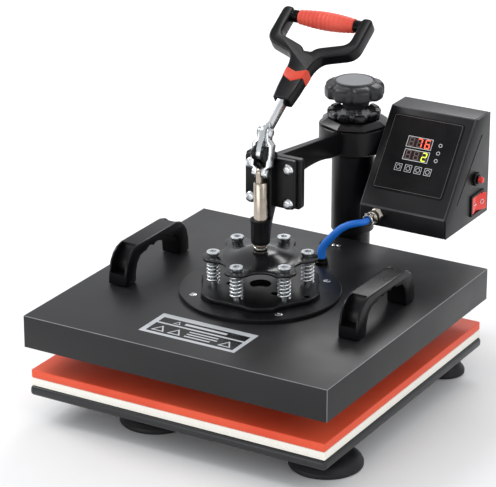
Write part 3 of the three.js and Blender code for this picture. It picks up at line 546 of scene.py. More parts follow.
# %% [markdown]
# The lock ring is a castellated nut that jams the pressure screw. The rim is spun first, then ten
# groups of its vertices are drawn inwards and down, which is how a filed notch looks.

# %% Lock ring
def off_column(place):
    """Distance from the column's axis, in mm."""
    return math.hypot(place.x, place.y - COLUMN[1])


def bearing(place):
    """Direction from the column's axis, in degrees."""
    return math.degrees(math.atan2(place.y - COLUMN[1], place.x))


NOTCH_PITCH, NOTCH_WIDTH = 36, 10
turn([(10, 276.9), (28, 276.9), (31.5, 278), (32.2, 280), (32.2, 284.2), (31.2, 285.4), (26.6, 285.4),
      (25.8, 284.6), (25.4, 279.6), (10, 279.6), (10, 276.9)], (*COLUMN, 0), steps=120)
pick("VERT", lambda place, normal: off_column(place) > 27 and bearing(place) % NOTCH_PITCH < NOTCH_WIDTH)
bpy.ops.transform.resize(value=(0.9, 0.9, 1), center_override=at(*COLUMN, 280))
pick("VERT", lambda place, normal: place.z > 281 and off_column(place) > 22
     and bearing(place) % NOTCH_PITCH < NOTCH_WIDTH)
bpy.ops.transform.translate(value=(0, 0, -3 * MM))
finished("lock_ring_castellated", "lift", gloss_coat, ("lock_ring",), smooth=28)

# %% [markdown]
# The pressure knob is a moulded hand wheel with eight lobes. It is spun as a drum on a neck, then
# eight upright flutes are pressed into the rim for the fingers. A paler disc snaps into its top.

# %% Pressure knob
KNOB_STEPS = 120
turn([(9.9, 287.2), (13, 287.2), (13.5, 288), (13.5, 291), (15.5, 294.6), (22, 299.6), (30, 301.2),
      (34.4, 302.2), (35.6, 303.8), (35.9, 306), (35.9, 312.6), (35.3, 315.4), (33.4, 317.6),
      (29, 319.4), (25.4, 320.2), (25, 321.4), (24.2, 321.8), (23.2, 321.4), (22.8, 320.6), (0, 320.6)],
     (*COLUMN, 0), steps=KNOB_STEPS)
LOBE_STEPS = KNOB_STEPS // 8
for step in range(LOBE_STEPS):
    depth = 0.11 * max(0.0, math.cos(math.pi * (step - LOBE_STEPS / 2) / 6)) ** 0.9
    pick("VERT", lambda place, normal: off_column(place) > 27.5
         and round(bearing(place) / 3) % LOBE_STEPS == step)
    bpy.ops.transform.resize(value=(1 - depth, 1 - depth, 1), center_override=at(*COLUMN, 310))
finished("pressure_knob_fluted", "knob", knob_plastic, ("pressure_knob",), smooth=34)
turn([(0, 320.6), (22.4, 320.6), (22.4, 321.3), (21.6, 321.8), (0, 321.8)], (*COLUMN, 0), steps=64)
finished("pressure_knob_disc", "knob", disc_plastic)
thread = [(0, 243), (6.6, 243)]
for turn_number in range(9):
    thread += [(7.5, 244.5 + turn_number * 2.5), (6.6, 245.7 + turn_number * 2.5)]
turn(thread + [(9.5, 267), (9.5, 290.5), (0, 290.5)], (*COLUMN, 0), steps=40)
finished("pressure_screw", "knob", zinc, ("knob_screw",))
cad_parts["lift_nut"].data.materials[0] = brass

# %% [markdown]
# The arm is a welded piece: a bored hub, an upright web whose lower edge is cut in an arch, and a
# nose plate for the toggle housing. The web's arch is a curve, so a small function bends a line of
# points between two ends. The cap on the hub is an eight-sided pressing.

# %% Swing arm and hub cap
def bow(start, pull, end, steps=8):
    """Points of a curve from start to end, drawn towards pull."""
    points = []
    for i in range(steps + 1):
        t = i / steps
        points.append(tuple((1 - t) ** 2 * a + 2 * t * (1 - t) * b + t * t * c
                            for a, b, c in zip(start, pull, end)))
    return points


def rounded(width, height, radius, steps=6):
    """Outline of a rectangle with round corners about the origin."""
    points = []
    for corner in range(4):
        cx = (width / 2 - radius) * (1, -1, -1, 1)[corner]
        cy = (height / 2 - radius) * (1, 1, -1, -1)[corner]
        for i in range(steps + 1):
            angle = math.radians(90 * corner + 90 * i / steps)
            points.append((cx + radius * math.cos(angle), cy + radius * math.sin(angle)))
    return points


turn([(26.4, 238.1), (41, 238.1), (42, 239), (42, 267), (41, 268), (26.4, 268), (26.4, 238.1)],
     (*COLUMN, 0), steps=96)
hub = bpy.context.object
web_outline = (bow((-13, 232), (3, 245), (48, 249)) + bow((48, 249), (85, 251), (112, 243))[1:]
               + [(141, 240), (141, 267), (-9, 286.2), (-13, 286.2)])
web = plate([at(-4.75, y, z) for y, z in web_outline], at(9.5, 0, 0))
soften(1.2, 3)
nose = plate([at(x, -7, 256.7 + z) for x, z in rounded(72, 60.2, 4)], at(0, -10, 0))
soften(1.6, 3)
unite(hub, web, nose)
finished("swing_arm_welded", "arm", powder_coat, ("swing_arm",))
turn([(9.9, 268.4), (41.4, 268.4), (42.2, 269.2), (42.2, 270.4), (41.2, 271.2), (35, 275.6),
      (33.6, 276.4), (9.9, 276.4), (9.9, 268.4)], (*COLUMN, 0), steps=8)
soften(1.2, 3, 20)
finished("hub_cap_pressed", "arm", gloss_coat, ("hub_cap",))

# %% [markdown]
# The toggle housing bolts to the nose with four screws. Its two lugs carry the fixed pivot, and the
# round guide below keeps the plunger upright.

# %% Toggle housing
def bar_outline(a, b, radius, steps=10):
    """Outline of a bar with round ends at a and b."""
    lean = math.atan2(b[1] - a[1], b[0] - a[0])
    points = []
    for end, first in ((a, math.pi / 2), (b, -math.pi / 2)):
        for i in range(steps + 1):
            angle = lean + first + math.pi * i / steps
            points.append((end[0] + radius * math.cos(angle), end[1] + radius * math.sin(angle)))
    return points


mount_flange = plate([at(x, -17.4, 257.4 + z) for x, z in rounded(64, 58.6, 4)], at(0, -7.6, 0))
soften(1.2, 3)
gusset_outline = ([(-45, 195), (-35.5, 195)] + bow((-35.5, 195), (-34, 210), (-24, 227))[1:]
                  + [(-23, 230), (-23, 285), (-35.4, 288), (-35.4, 215), (-45, 215)])
gusset = plate([at(-8, y, z) for y, z in gusset_outline], at(16, 0, 0))
soften(1.0, 3)
cut(gusset, turn([(0, 190), (8.3, 190), (8.3, 220), (0, 220)], (*PLUNGER, 0), steps=48))
guide = turn([(8.3, 189.2), (9.8, 189.2), (10.8, 191), (11.2, 195), (11.2, 214), (12.3, 217),
              (12.3, 218.6), (11.6, 219), (8.3, 219), (8.3, 189.2)], (*PLUNGER, 0), steps=64)
lugs = []
for x in (-8, 3.4):
    lugs.append(plate([at(x, y, z) for y, z in bar_outline((-45, 298), (-28, 287), 8.6)], at(4.6, 0, 0)))
    soften(0.8, 2)
unite(mount_flange, gusset, guide, *lugs)
finished("toggle_housing_cast", "arm", powder_coat, ("toggle_housing",))
turn([(0, -7.9), (3.4, -7.9), (4, -7.3), (4, 7.3), (3.4, 7.9), (0, 7.9)], (*PLUNGER, 298), axis="X",
     steps=32)
finished("pivot_pin_turned", "arm", zinc, ("pivot_pin",))
BUTTON_HEAD = [(0, 0), (6.9, 0), (6.9, -0.8), (6.4, -2), (5.2, -3.3), (3.6, -4.1), (2.9, -4.2),
               (2.7, -2.4), (0, -2.4)]
for x in (-24, 24):
    for z in (234.9, 276):
        turn(BUTTON_HEAD, (x, -25.05, z), axis="Y", steps=32)
        finished(f"housing_screw_{'l' if x < 0 else 'r'}{'l' if z < 250 else 'h'}", "arm", zinc)

# %% [markdown]
# The toggle. The lever bar and the two joggled links are stamped and zinc plated. They were cut with
# holes in CAD, so a merged copy is taken and its edges are broken, as tumbling does.

# %% Lever bar, pins and links
refined("lever_bar", "lever", zinc, 0.9)
refined("link_left", "links", zinc, 0.6)
refined("link_right", "links", zinc, 0.6)
CRANK_PIN = (0, -34.857, 319.751)
turn([(0, -9.5), (2.8, -9.5), (4.8, -8.9), (5.5, -8.2), (5.5, -7.7), (4, -7.6), (4, 7.6), (5.5, 7.7),
      (5.5, 8.2), (4.8, 8.9), (2.8, 9.5), (0, 9.5)], CRANK_PIN, axis="X", steps=36)
finished("crank_pin_riveted", "lever", zinc, ("crank_pin",))

# %% [markdown]
# The loop handle is one moulding: a tapering neck over the bar, a fork and two arms that hold the
# grip. It lies in a plane that leans back, so its outline is drawn across and along that plane and
# pushed through it. An orange band with a notch wraps the neck.

# %% Loop handle
LEAN = math.radians(57.2)


def on_lever(x, along, out=0.0):
    """A place in the lever's plane: across, along it from the crank pin, and out of its face."""
    return at(x, CRANK_PIN[1] + along * math.sin(LEAN) - out * math.cos(LEAN),
              CRANK_PIN[2] + along * math.cos(LEAN) + out * math.sin(LEAN))


face_normal = (on_lever(0, 0, 1) - on_lever(0, 0)) / MM
half = ([(10.5, 45), (12.5, 62), (14, 92)] + bow((14, 92), (15.4, 110), (26, 114), 6)[1:]
        + bow((46, 121.2), (58.5, 125.6), (58.5, 140), 8) + bow((58.5, 171), (58.5, 178), (52.5, 178), 4)
        + bow((50, 178), (44.8, 178), (44.8, 173), 3) + bow((44.8, 146), (44.8, 137), (37, 134.2), 6)
        + bow((15, 126.2), (8, 123.8), (5, 118), 4))
loop = half + [(-x, v) for x, v in reversed(half)]
plate([on_lever(x, v, -8) for x, v in loop], face_normal * 16 * MM)
pick("FACE", lambda place, normal: abs(normal.dot(face_normal)) > 0.99)
bpy.ops.mesh.inset(thickness=3.2 * MM, depth=-0.8 * MM, use_even_offset=True)
bpy.ops.object.mode_set(mode="OBJECT")
soften(2.2, 4, 40)
finished("handle_moulding", "lever", nylon, ("handle_frame",), smooth=40)
band = [(14.5, 92), (0, 86.5), (-14.5, 92), (-13.8, 78), (0, 71), (13.8, 78)]
plate([on_lever(x, v, -8.35) for x, v in band], face_normal * 16.7 * MM)
soften(2.6, 4, 75)
finished("handle_band", "lever", band_plastic, smooth=40)
grip_centre = tuple(on_lever(0, 170) / MM)
collar = [(0, -44.4), (7.4, -44.4)]
for i in range(4):
    collar += [(7.4, -43 + 1.7 * i), (6.7, -42.7 + 1.7 * i), (6.7, -42 + 1.7 * i), (7.4, -41.7 + 1.7 * i)]
collar += [(7.4, -36.5), (6, -36.4)]
turn(collar + [(r, -x) for r, x in reversed(collar)], grip_centre, axis="X", steps=40)
finished("grip_core", "lever", nylon, ("grip_bar",))
barrel = [(6.3, -36.2), (7.4, -36.2), (8, -35.6)]
for i in range(13):
    x = -33 + 5.5 * i
    crown = 8 + 3 * math.cos(math.pi * x / 76)
    barrel += [(crown, x - 2.2), (crown, x + 2.0), (crown - 0.4, x + 2.7)]
turn(barrel + [(7.6, 36.2), (6.3, 36.2), (6.3, -36.2)], grip_centre, axis="X", steps=48)
finished("grip_barrel", "lever", grip_rubber, ("grip_sleeve",), smooth=50)

# %% [markdown]
# The plunger is a ground rod with a flat tongue for the links and a thread below. The six-lobed
# pressure plate hangs from it: its edge runs out round each bolt and in between them, and its middle
# is dished upwards. The edge is one outline of points whose radius swings six times.

# %% Plunger and dome plate
rod = turn([(0, 172.2), (4.9, 172.2), (4.9, 186), (7.4, 186.6), (8, 187.4), (8, 261.8), (7, 263.4),
            (0, 263.6)], (*PLUNGER, 0), steps=64)
tongue = plate([at(-2.8, y - 45, z) for y, z in bar_outline((0, 257), (0, 275), 6)], at(5.6, 0, 0))
soften(0.5, 2)
unite(rod, tongue)
finished("plunger_rod_ground", "plunger", nickel, ("plunger_rod",))
turn([(5.3, 182.7), (7.6, 182.7), (8.3, 183.3), (8.3, 185.3), (7.6, 185.9), (5.3, 185.9), (5.3, 182.7)],
     (*PLUNGER, 0), steps=40)
finished("plunger_nut_turned", "plunger", connector_nickel, ("plunger_nut",))


def round_plunger(radius, angle):
    """A place at a distance from the plunger's axis, in mm, with the angle in radians."""
    return PLUNGER[0] + radius * math.cos(angle), PLUNGER[1] + radius * math.sin(angle)


def lobed(tip, waist, steps=96):
    """Outline with six rounded lobes, one at each spring bolt."""
    points = []
    for i in range(steps):
        angle = 2 * math.pi * i / steps
        swing = math.tanh(1.6 * math.cos(6 * (angle - math.pi / 6))) / math.tanh(1.6)
        radius = waist + (tip - waist) * (1 + swing) / 2
        points.append(round_plunger(radius, angle))
    return points


spider = plate([at(x, y, 169.6) for x, y in lobed(66, 48)], at(0, 0, 3.4))
soften(0.9, 3)
dish = turn([(5.4, 171.5), (44, 171.5), (43.4, 173), (39, 173.5), (34, 174.8), (28, 177), (21, 179.8),
             (15, 181.3), (10, 181.9), (5.4, 182), (5.4, 171.5)], (*PLUNGER, 0), steps=96)
unite(spider, dish)
finished("dome_plate_pressed", "plunger", gloss_coat, ("dome_plate",), smooth=45)

# %% [markdown]
# The flange below is a turned disc with a raised six-lobed pad. A round well in the middle, three
# slots round it and two small holes near the rim are cut with cutters, as on a mill.

# %% Flange disc
disc = turn([(0, 129.4), (93.5, 129.4), (93.5, 133), (92.7, 133.9), (0, 133.9)], (*PLUNGER, 0), steps=128)
pad = plate([at(x, y, 133.5) for x, y in lobed(67, 73)], at(0, 0, 5.5))
soften(1.3, 3)
well = turn([(0, 132), (12.5, 132), (12.5, 150), (0, 150)], (*PLUNGER, 0), steps=48)
cut(pad, well)
SLOT, HOLE = (4, 1.4), (3, 0.6)  # end radius, and how far the ends lie from the middle
for radius, degrees, (end, reach) in ((34, 90, SLOT), (34, 210, SLOT), (34, 330, SLOT), (65, 354, HOLE),
                                      (65, 174, HOLE)):
    middle_x, middle_y = round_plunger(radius, math.radians(degrees))
    slot = plate([at(middle_x + x, middle_y + y, 134.4) for x, y in
                  bar_outline((-reach, 0), (reach, 0), end)], at(0, 0, 12))
    cut(pad, slot)
unite(disc, pad)
finished("flange_disc_milled", "platen", powder_coat, ("flange_disc",))
for k in range(4):
    x, y = round_plunger(79.5, math.radians(45 + 90 * k))
    turn([(0, 133.6), (4.4, 133.6), (4.4, 134.2), (3.8, 134.5), (1.5, 134.5), (1.2, 133.9), (0, 133.9)],
         (x, y, 0), steps=24)
    finished(f"flange_screw_{k + 1}", "platen", zinc)

# %% [markdown]
# Six bolts pass through the lobes and the springs. Each bolt is turned, and a six-sided cutter makes
# the socket in its head. Each spring is wound by carrying a round wire section up a screw path.

# %% Spring bolts and springs
BOLT_CIRCLE = 54
BOLT_PLACES = [round_plunger(BOLT_CIRCLE, math.radians(30 + 60 * k)) for k in range(6)]
for k, (x, y) in enumerate(BOLT_PLACES):
    bolt = turn([(0, 131.4), (3.9, 131.4), (3.9, 173.2), (6.5, 173.2), (6.9, 174.6), (8, 177.4), (8, 178.4),
                 (7.4, 179.2), (0, 179.2)], (x, y, 0), steps=40)
    cut(bolt, turn([(0, 176.2), (4.1, 176.2), (4.1, 182), (0, 182)], (x, y, 0), steps=6))
    finished(f"spring_bolt_{k + 1}_turned", "platen", zinc, (f"spring_bolt_{k + 1}",))
coils = []
for x, y in BOLT_PLACES:
    clear_selection()
    bpy.ops.mesh.primitive_circle_add(vertices=10, radius=1.2 * MM, location=at(x + 6.8, y, 141.8),
                                      rotation=(math.pi / 2, 0, 0))
    bpy.ops.object.transform_apply(location=False, rotation=True, scale=False)
    coil = bpy.context.object
    bpy.context.scene.cursor.location = at(x, y, 141.8)
    bpy.ops.object.origin_set(type="ORIGIN_CURSOR")
    winding = coil.modifiers.new("winding", "SCREW")
    winding.angle = 2 * math.pi
    winding.iterations = 6
    winding.screw_offset = 4.42 * MM
    winding.steps = winding.render_steps = 22
    bpy.ops.object.modifier_apply(modifier=winding.name)
    bpy.ops.object.mode_set(mode="EDIT")
    bpy.ops.mesh.select_mode(type="EDGE")
    bpy.ops.mesh.select_all(action="DESELECT")
    bpy.ops.mesh.select_non_manifold()
    bpy.ops.mesh.edge_face_add()
    bpy.ops.mesh.select_all(action="SELECT")
    bpy.ops.mesh.normals_make_consistent(inside=False)
    bpy.ops.object.mode_set(mode="OBJECT")
    coils.append(coil)
unite(*coils)
bpy.context.scene.cursor.location = (0, 0, 0)
springs = finished("coil_springs", "platen", spring_zinc, ("springs",), smooth=60)
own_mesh(springs)

# %% [markdown]
# The platen. Its cover is a folded sheet-steel tray, open below, over a cast heating plate and a
# fibre blanket. The tray starts as a block that loses its bottom and gets a wall 1.5 mm thick. A hole
# lets the lead in, and the narrow faces along the folds get a pale grey as a painted highlight.

# %% Platen cover
cover = node_block("platen_cover")
pick("FACE", lambda place, normal: normal.z < -0.9)
bpy.ops.mesh.delete(type="FACE")
bpy.ops.object.mode_set(mode="OBJECT")
wall = cover.modifiers.new("wall", "SOLIDIFY")
wall.thickness = 1.5 * MM
wall.offset = -1
bpy.ops.object.modifier_apply(modifier=wall.name)
soften(0.9, 3)
cut(cover, turn([(0, 124), (6.6, 124), (6.6, 134), (0, 134)], (*GLAND, 0), steps=32))
tray = finished("platen_cover_tray", "platen", cover_coat, ("platen_cover",))
tray.data.materials.append(fold_edge_highlight_paint)
# The narrow faces along the top folds take the pale grey, which is a painted highlight.
pick("FACE", lambda place, normal: max(abs(normal.x), abs(normal.y)) < 0.98 and place.z > 91.5
     and abs(normal.z) < 0.98 and max(abs(place.x), abs(place.y - PLUNGER[1])) > 194)
paint_selected(1)
bpy.ops.object.mode_set(mode="OBJECT")

# %% [markdown]
# The two pulls are moulded bows. The side outline has finger scallops under the bar, and each end has
# a deep pocket for its screw. A pocket opens above a solid foot and runs up the slope to the top, so
# only thin walls are left beside it.

# %% Platen pulls
PULL_TOP = [(69, 0), (68.2, 15), (65, 27), (59, 36), (52, 41), (42, 43.8)]
PULL_UNDER = [(47.5, 0), (46.6, 12), (43.5, 22), (37, 28.6), (28, 30.6), (25.2, 30.2), (18, 34), (12, 34.2),
              (8.4, 31.4), (4.4, 33.8)]
POCKET = [(76, 14), (53, 14), (52, 23), (47.5, 31), (42, 38), (42, 50), (76, 50)]
pull_side = (PULL_TOP + [(-y, z) for y, z in reversed(PULL_TOP)]
             + [(-y, z) for y, z in PULL_UNDER] + list(reversed(PULL_UNDER)))
PULL_HALF, POCKET_HALF, PULL_FOOT = 12.4, 9.6, 129.4
for name, x in (("pull_left", -151), ("pull_right", 151)):
    pull = plate([at(x - PULL_HALF, y + PLUNGER[1], PULL_FOOT + z) for y, z in pull_side],
                 at(2 * PULL_HALF, 0, 0))
    soften(1.6, 3, 50)
    for end in (-1, 1):
        cut(pull, plate([at(x - POCKET_HALF, end * y + PLUNGER[1], PULL_FOOT + z) for y, z in POCKET],
                        at(2 * POCKET_HALF, 0, 0)))
    finished(name + "_moulded", "platen", nylon, (name,), smooth=40)

# %% [markdown]
# Small parts behind the disc: the nut of the lead's gland, and the cup of the thermostat with its two
# screws.

# %% Gland nut and thermostat cup
turn([(5.8, 129.4), (8, 129.4), (8, 132.6), (7.6, 133.2), (7.2, 133.4), (7, 136.6), (6.6, 136.9),
      (5.8, 136.9), (5.8, 129.4)], (*GLAND, 0), steps=24)
finished("lead_gland_nut", "platen", nylon, ("lead_gland",))
turn([(0, 129.3), (6.6, 129.3), (6.6, 131), (6, 132), (4.4, 132.6), (4, 134.4), (0, 134.8)],
     (-7, 121, 0), steps=36)
finished("thermostat_cup", "platen", nylon)
for number, place in enumerate(((5.5, 120.5, 0), (11, 122, 0))):
    turn([(0, 129.3), (2.7, 129.3), (2.7, 130.6), (1.9, 131.5), (0.8, 131.6), (0.6, 130.9), (0, 130.9)],
         place, steps=20)
    finished(f"cup_screw_{number + 1}", "platen", zinc)

# %% [markdown]
# A foil label lies on the front of the tray: a silver sheet with two dark printed fields. Plain
# triangles and bars stand where a maker would print signs and words, and they say nothing.

# %% Blank label
def printed(name, corners, finish):
    """A flat printed shape, a few hundredths of a millimetre thick, on the label."""
    plate([at(x, y, 129.42) for x, y in corners], at(0, 0, 0.05))
    return finished(name, "platen", finish)


block((-62, -208, 129.05), (61.5, -154.5, 129.3))
soften(0.1, 2)
finished("label_sheet", "platen", label_foil)
for name, low, high in (("label_header", -176.5, -163.5), ("label_field", -203, -180)):
    block((-55.5, low, 129.25), (56.3, high, 129.42))
    soften(0.04, 1)
    finished(name, "platen", overlay)
SIGNS = [(-33, -170.4, 4.6), (-43, -192.4, 8.4), (-22, -192.4, 8.4), (43, -192.4, 8.4)]
for number, (x, y, size) in enumerate(SIGNS):
    corners = ((x - size, y - size * 0.85), (x + size, y - size * 0.85), (x, y + size * 0.9))
    sign = printed(f"label_triangle_{number + 1}", corners, label_foil)
    sign.data.materials.append(overlay)
    pick("FACE", top_face)
    bpy.ops.mesh.inset(thickness=0.2 * size * MM)
    paint_selected(1)
    bpy.ops.object.mode_set(mode="OBJECT")
BARS = [(-24, 30, -170, 4.4), (-9, 28, -185.4, 2.6), (-9, 30, -191.4, 2.6), (-9, 24, -197.4, 2.6)]
for number, (x0, x1, y, high) in enumerate(BARS):
    low, top = y - high / 2, y + high / 2
    printed(f"label_bar_{number + 1}", ((x0, low), (x1, low), (x1, top), (x0, top)), label_foil)

# %% [markdown]
# The control box is a folded wedge of sheet steel beside the hub, closed by a flat side panel. Its
# side outline is drawn once and pushed across. Everything on the sloping face is made flat at the
# origin and then tilted into place.

# %% Control box
FRONT, RIDGE, TOP_FRONT, TOP = 115, 193, 192, 294
CASE_SIDE = [(FRONT, 169), (FRONT, RIDGE), (TOP_FRONT, TOP), (227, TOP), (227, 169)]
SLOPE = math.atan2(TOP - RIDGE, TOP_FRONT - FRONT)
plate([at(42.5, y, z) for y, z in CASE_SIDE], at(111.3, 0, 0))
soften(1.4, 3)
wedge = finished("case_wedge", "arm", box_coat, ("case_shell",))
wedge.data.materials.append(box_fold_highlight_paint)
# The narrow faces along the folds of the sloping face take a lighter grey, which is a painted highlight.
pick("FACE", lambda place, normal: normal.y < -0.05 and place.z > RIDGE - 1
     and abs(normal.y + math.sin(SLOPE)) > 0.02)
paint_selected(1)
bpy.ops.object.mode_set(mode="OBJECT")
plate([at(154.1, y, z) for y, z in CASE_SIDE], at(1.9, 0, 0))
soften(0.7, 2)
finished("case_side_panel", "arm", box_coat, ("case_cap_right",))
crease = [(205.4, 271.6), (206.6, 270.4), (143.6, 201.4), (142.4, 202.6)]
plate([at(155.8, y, z) for y, z in crease], at(0.75, 0, 0))
soften(0.3, 2)
finished("case_side_crease", "arm", box_coat)


def to_slope(x, along, out):
    """Tilts the active flat piece onto the sloping face, at a place across and up from its ridge."""
    piece = bpy.context.object
    if piece.mode != "OBJECT":
        bpy.ops.object.mode_set(mode="OBJECT")
    bpy.ops.object.transform_apply(location=True, rotation=True, scale=True)
    piece.rotation_euler = (SLOPE, 0, 0)
    piece.location = at(x, FRONT + along * math.cos(SLOPE) - out * math.sin(SLOPE),
                        RIDGE + along * math.sin(SLOPE) + out * math.cos(SLOPE))


face = plate([at(x, y, 0) for x, y in rounded(92.7, 95.5, 4)], at(0, 0, 0.8))
soften(0.3, 2)
face.data.materials.append(overlay)
face.data.materials.append(dim_segment)
pick("FACE", lambda place, normal: normal.z > 0.99 and place.z > 0.79)
bpy.ops.mesh.inset(thickness=1.6 * MM)
paint_selected(1)
bpy.ops.mesh.inset(thickness=0.4 * MM)
paint_selected(0)
to_slope(96.85, 70.25, 0.3)
finished("front_overlay", "arm", None, ("front_panel",))

# %% [markdown]
# Two windows with thin white frames show the temperature and the time in seven-segment figures. Each
# figure is seven bars. The lit bars glow, and the rest are dull grey behind the tint.

# %% Displays
SEGMENTS = {"top": (-2.4, 4.4, 2.4, 5.6), "middle": (-2.4, -0.6, 2.4, 0.6),
            "bottom": (-2.4, -5.6, 2.4, -4.4), "high_left": (-3.3, 0.5, -2.1, 4.9),
            "high_right": (2.1, 0.5, 3.3, 4.9), "low_left": (-3.3, -4.9, -2.1, -0.5),
            "low_right": (2.1, -4.9, 3.3, -0.5)}
FIGURES = {"8": set(SEGMENTS), " ": set(), "7": {"top", "high_right", "low_right"},
           "6": set(SEGMENTS) - {"high_right"}, "2": set(SEGMENTS) - {"high_left", "low_right"}}


def window(name, x, along, figures, glow):
    tile = block((-16.4, -6.9, 0), (16.4, 6.9, 0.4))
    tile.data.materials.append(overlay)
    tile.data.materials.append(white_ink)
    tile.data.materials.append(window_tint)
    pick("FACE", top_face)
    paint_selected(1)
    bpy.ops.mesh.inset(thickness=0.75 * MM)
    paint_selected(2)
    to_slope(x, along, 1.1)
    finished(name, "arm", None)
    for finish, wanted in ((glow, True), (dim_segment, False)):
        bars = []
        for place, figure in enumerate(figures):
            for segment, (x0, y0, x1, y1) in SEGMENTS.items():
                if (segment in FIGURES[figure]) == wanted:
                    shift = (place - 1) * 10.4
                    bars.append(block((x0 + shift, y0, 0), (x1 + shift, y1, 0.12)))
        unite(*bars)
        soften(0.05, 1)
        to_slope(x, along, 1.5)
        finished(f"{name}_{'lit' if wanted else 'dim'}", "arm", finish)


window("temperature_window", 94, 85.8, " 76", red_lamp)
window("time_window", 94.5, 69.6, "  2", green_lamp)
for number, along in enumerate((87.3, 77.5, 68)):
    clear_selection()
    bpy.ops.mesh.primitive_torus_add(major_radius=2 * MM, minor_radius=0.4 * MM, major_segments=32,
                                     minor_segments=8)
    to_slope(120.7, along, 1.2)
    finished(f"lamp_ring_{number + 1}", "arm", white_ink)

# %% [markdown]
# The four keys are domes under the overlay with a printed outline and a round sign on each. The
# outline is the ring left by an inset of the top face.

# %% Keys
for k in range(4):
    key = block((-4.9, -4.9, 0), (4.9, 4.9, 1.3))
    soften(0.4, 2)
    key.data.materials.append(overlay)
    key.data.materials.append(white_ink)
    pick("FACE", lambda place, normal: normal.z > 0.99 and place.z > 1.2)
    paint_selected(1)
    bpy.ops.mesh.inset(thickness=0.55 * MM)
    paint_selected(0)
    bpy.ops.object.mode_set(mode="OBJECT")
    clear_selection()
    bpy.ops.mesh.primitive_torus_add(major_radius=2.5 * MM, minor_radius=0.3 * MM, major_segments=28,
                                     minor_segments=6, location=at(0, 0, 1.3))
    sign = bpy.context.object
    sign.data.materials.append(white_ink)
    unite(key, sign)
    to_slope(77 + 12.8 * k, 52.4, 1.0)
    finished(f"key_{k + 1}_dome", f"key_{k + 1}", None, (f"key_{k + 1}",))

# %% [markdown]
# The lead's connector: a hexagon nut on the panel, a threaded barrel, a knurled coupling ring and a
# clamp with two screws. Small grooves in the turned profiles stand for the thread and the knurl.

# %% Socket and plug
turn([(4.1, 114.6), (8.5, 114.6), (8.5, 111.2), (7.9, 110.7), (4.1, 110.7), (4.1, 114.6)],
     SOCKET, axis="Y", steps=6)
panel_nut = bpy.context.object
groove = [(4.1, 111), (7.2, 111)]
for i in range(4):
    groove += [(7.3, 110.2 - i * 1.2), (6.7, 109.6 - i * 1.2)]
turn(groove + [(6.7, 105.6), (4.1, 105.6), (4.1, 111)], SOCKET, axis="Y", steps=40)
unite(panel_nut, bpy.context.object)
finished("lead_socket_nut", "arm", connector_nickel, ("lead_socket",))
turn([(0, 105.2), (7.1, 105.2), (7.6, 104.6), (7.6, 99), (7, 98.2), (5.6, 97.8), (5.5, 95.6), (6.2, 95),
      (6.8, 94.2), (6.8, 89.2), (6.2, 88.2), (4.6, 88.2), (4.6, 94), (0, 94)], SOCKET, axis="Y",
     steps=48)
pick("VERT", lambda p, n: p.y > 98.6 and math.hypot(p.x - 67, p.z - 185) > 7.2
     and round(math.degrees(math.atan2(p.z - 185, p.x - 67)) / 7.5) % 2 == 0)
bpy.ops.transform.resize(value=(0.95, 1, 0.95), center_override=at(67, 100, 185))
finished("lead_plug_body", "arm", connector_nickel, ("lead_plug",), smooth=26)
for x in (63.4, 70.6):
    turn([(0, 190), (1.7, 190), (1.7, 192.2), (1.3, 192.5), (0, 192.5)], (x, 91.6, 0), steps=16)
    finished(f"plug_clamp_screw_{'left' if x < 67 else 'right'}", "arm", zinc)

# %% [markdown]
# On the side panel are a red rocker in a black bezel and, above it, the reset button of a breaker in
# its hexagon nut. The bezel is a block whose outer face is inset and pushed in to make the well.

# %% Rocker and breaker
block((153, 178.6, 176.1), (158.2, 213.4, 201.9))
soften(0.9, 3)
pick("FACE", lambda place, normal: normal.x > 0.99 and place.x > 158)
bpy.ops.mesh.inset(thickness=1.2 * MM)
bpy.ops.mesh.extrude_region_move(TRANSFORM_OT_translate={"value": at(-4.6, 0, 0)})
finished("rocker_bezel", "arm", nylon, ("rocker_body",))
ROCKER_SIDE = [(-14.7, 1.2), (0, -1), (14.7, 5.2), (14.1, -4), (0, -6), (-14.1, -4)]
plate([at(157 + v, 196 + u, 178.6) for u, v in ROCKER_SIDE], at(0, 0, 20.8))
soften(0.8, 3)
finished("power_rocker_red", "rocker", red_plastic, ("power_rocker",))
block((157.3, 185.9, 188.6), (158.3, 191.7, 189.6))
finished("rocker_off_mark", "rocker", white_ink)
clear_selection()
bpy.ops.mesh.primitive_torus_add(major_radius=2.6 * MM, minor_radius=0.45 * MM, major_segments=32,
                                 minor_segments=8, location=at(159.6, 203.6, 189),
                                 rotation=(0, math.pi / 2, -math.atan2(6.2, 14.7)))
finished("rocker_on_mark", "rocker", white_ink)
turn([(4.2, 156.3), (8.6, 156.3), (8.6, 159.2), (7.8, 159.8), (5.9, 160), (5.9, 161.8), (4.2, 162),
      (4.2, 156.3)], BREAKER, axis="X", steps=6)
finished("breaker_nut", "arm", nylon, ("breaker_body",))
turn([(0, 152), (3.8, 152), (3.8, 165.4), (3.4, 166.4), (2.6, 166.9), (0, 167)], BREAKER, axis="X",
     steps=32)
finished("breaker_button_red", "breaker", red_plastic, ("breaker_button",))

# %% [markdown]
# At the back is the mains inlet, a three-pin socket. The press stands on show without its lead, so
# only the inlet is made.

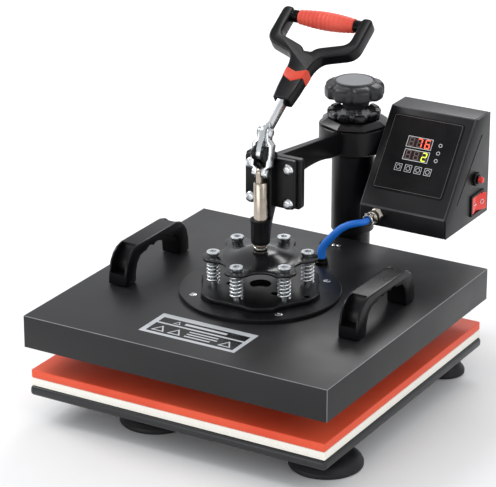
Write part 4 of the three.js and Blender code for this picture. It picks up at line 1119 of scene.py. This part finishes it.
# %% Mains inlet
refined("power_inlet", "arm", nylon, 0.6)
for x, z in ((95, 198.6), (101, 203), (107, 198.6)):
    block((x - 1, 213.4, z - 2.4), (x + 1, 226, z + 2.4))
    soften(0.4, 2)
    finished(f"inlet_pin_{x}", "arm", connector_nickel)

# %% [markdown]
# The pieces inside keep their CAD shape, because only an edge of them is ever seen. They still get
# real finishes: coated aluminium, ceramic fibre, lacquered board and brass.

# %% Finishes of the inner pieces
for name, finish in (("lift_nut", brass), ("heating_plate", cast_aluminium),
                     ("insulation_blanket", wool), ("control_board", board_lacquer)):
    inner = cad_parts[name]
    inner.data.materials.clear()
    inner.data.materials.append(finish)

# %% [markdown]
# The set: a pale matt floor, a pale sky, a large soft light from the upper left, a weaker one from
# the right, a strip behind that brightens the top faces, and a low one in front that reaches the gap
# between the cover and the pads.

# %% Floor and lights
clear_selection()
bpy.ops.mesh.primitive_plane_add(size=12, location=(0, 0, -0.0005))
floor = bpy.context.object
floor.name = "floor"
floor.data.materials.append(grained("pale_studio_floor", ("#f1f1f1", "#f5f5f5"), (0.85, 0.9), grain=3,
                                    depth=0.02, patch=400))
world = bpy.data.worlds.new("studio")
bpy.context.scene.world = world
world.use_nodes = True
world.node_tree.nodes["Background"].inputs["Color"].default_value = linear("#f4f6f8")
world.node_tree.nodes["Background"].inputs["Strength"].default_value = 0.78


def softbox(name, place, size, power, target=(0, 0, 0.15)):
    light = bpy.data.lights.new(name, "AREA")
    light.shape = "RECTANGLE"
    light.size, light.size_y = size
    light.energy = power
    holder = bpy.data.objects.new(name, light)
    bpy.context.scene.collection.objects.link(holder)
    holder.location = place
    holder.rotation_euler = (Vector(target) - Vector(place)).to_track_quat("-Z", "Y").to_euler()


softbox("key_light", (-2.2, -0.2, 2.3), (1.5, 1.5), 44)
softbox("fill_light", (2.6, -0.6, 1.4), (1.4, 1.8), 14)
softbox("rim_light", (-0.4, 2.4, 2.0), (1.8, 0.8), 30)
softbox("low_light", (-0.5, -2.6, 0.5), (2.4, 0.5), 12)
bpy.context.scene.view_settings.view_transform = "Standard"
bpy.context.scene.view_settings.look = "None"
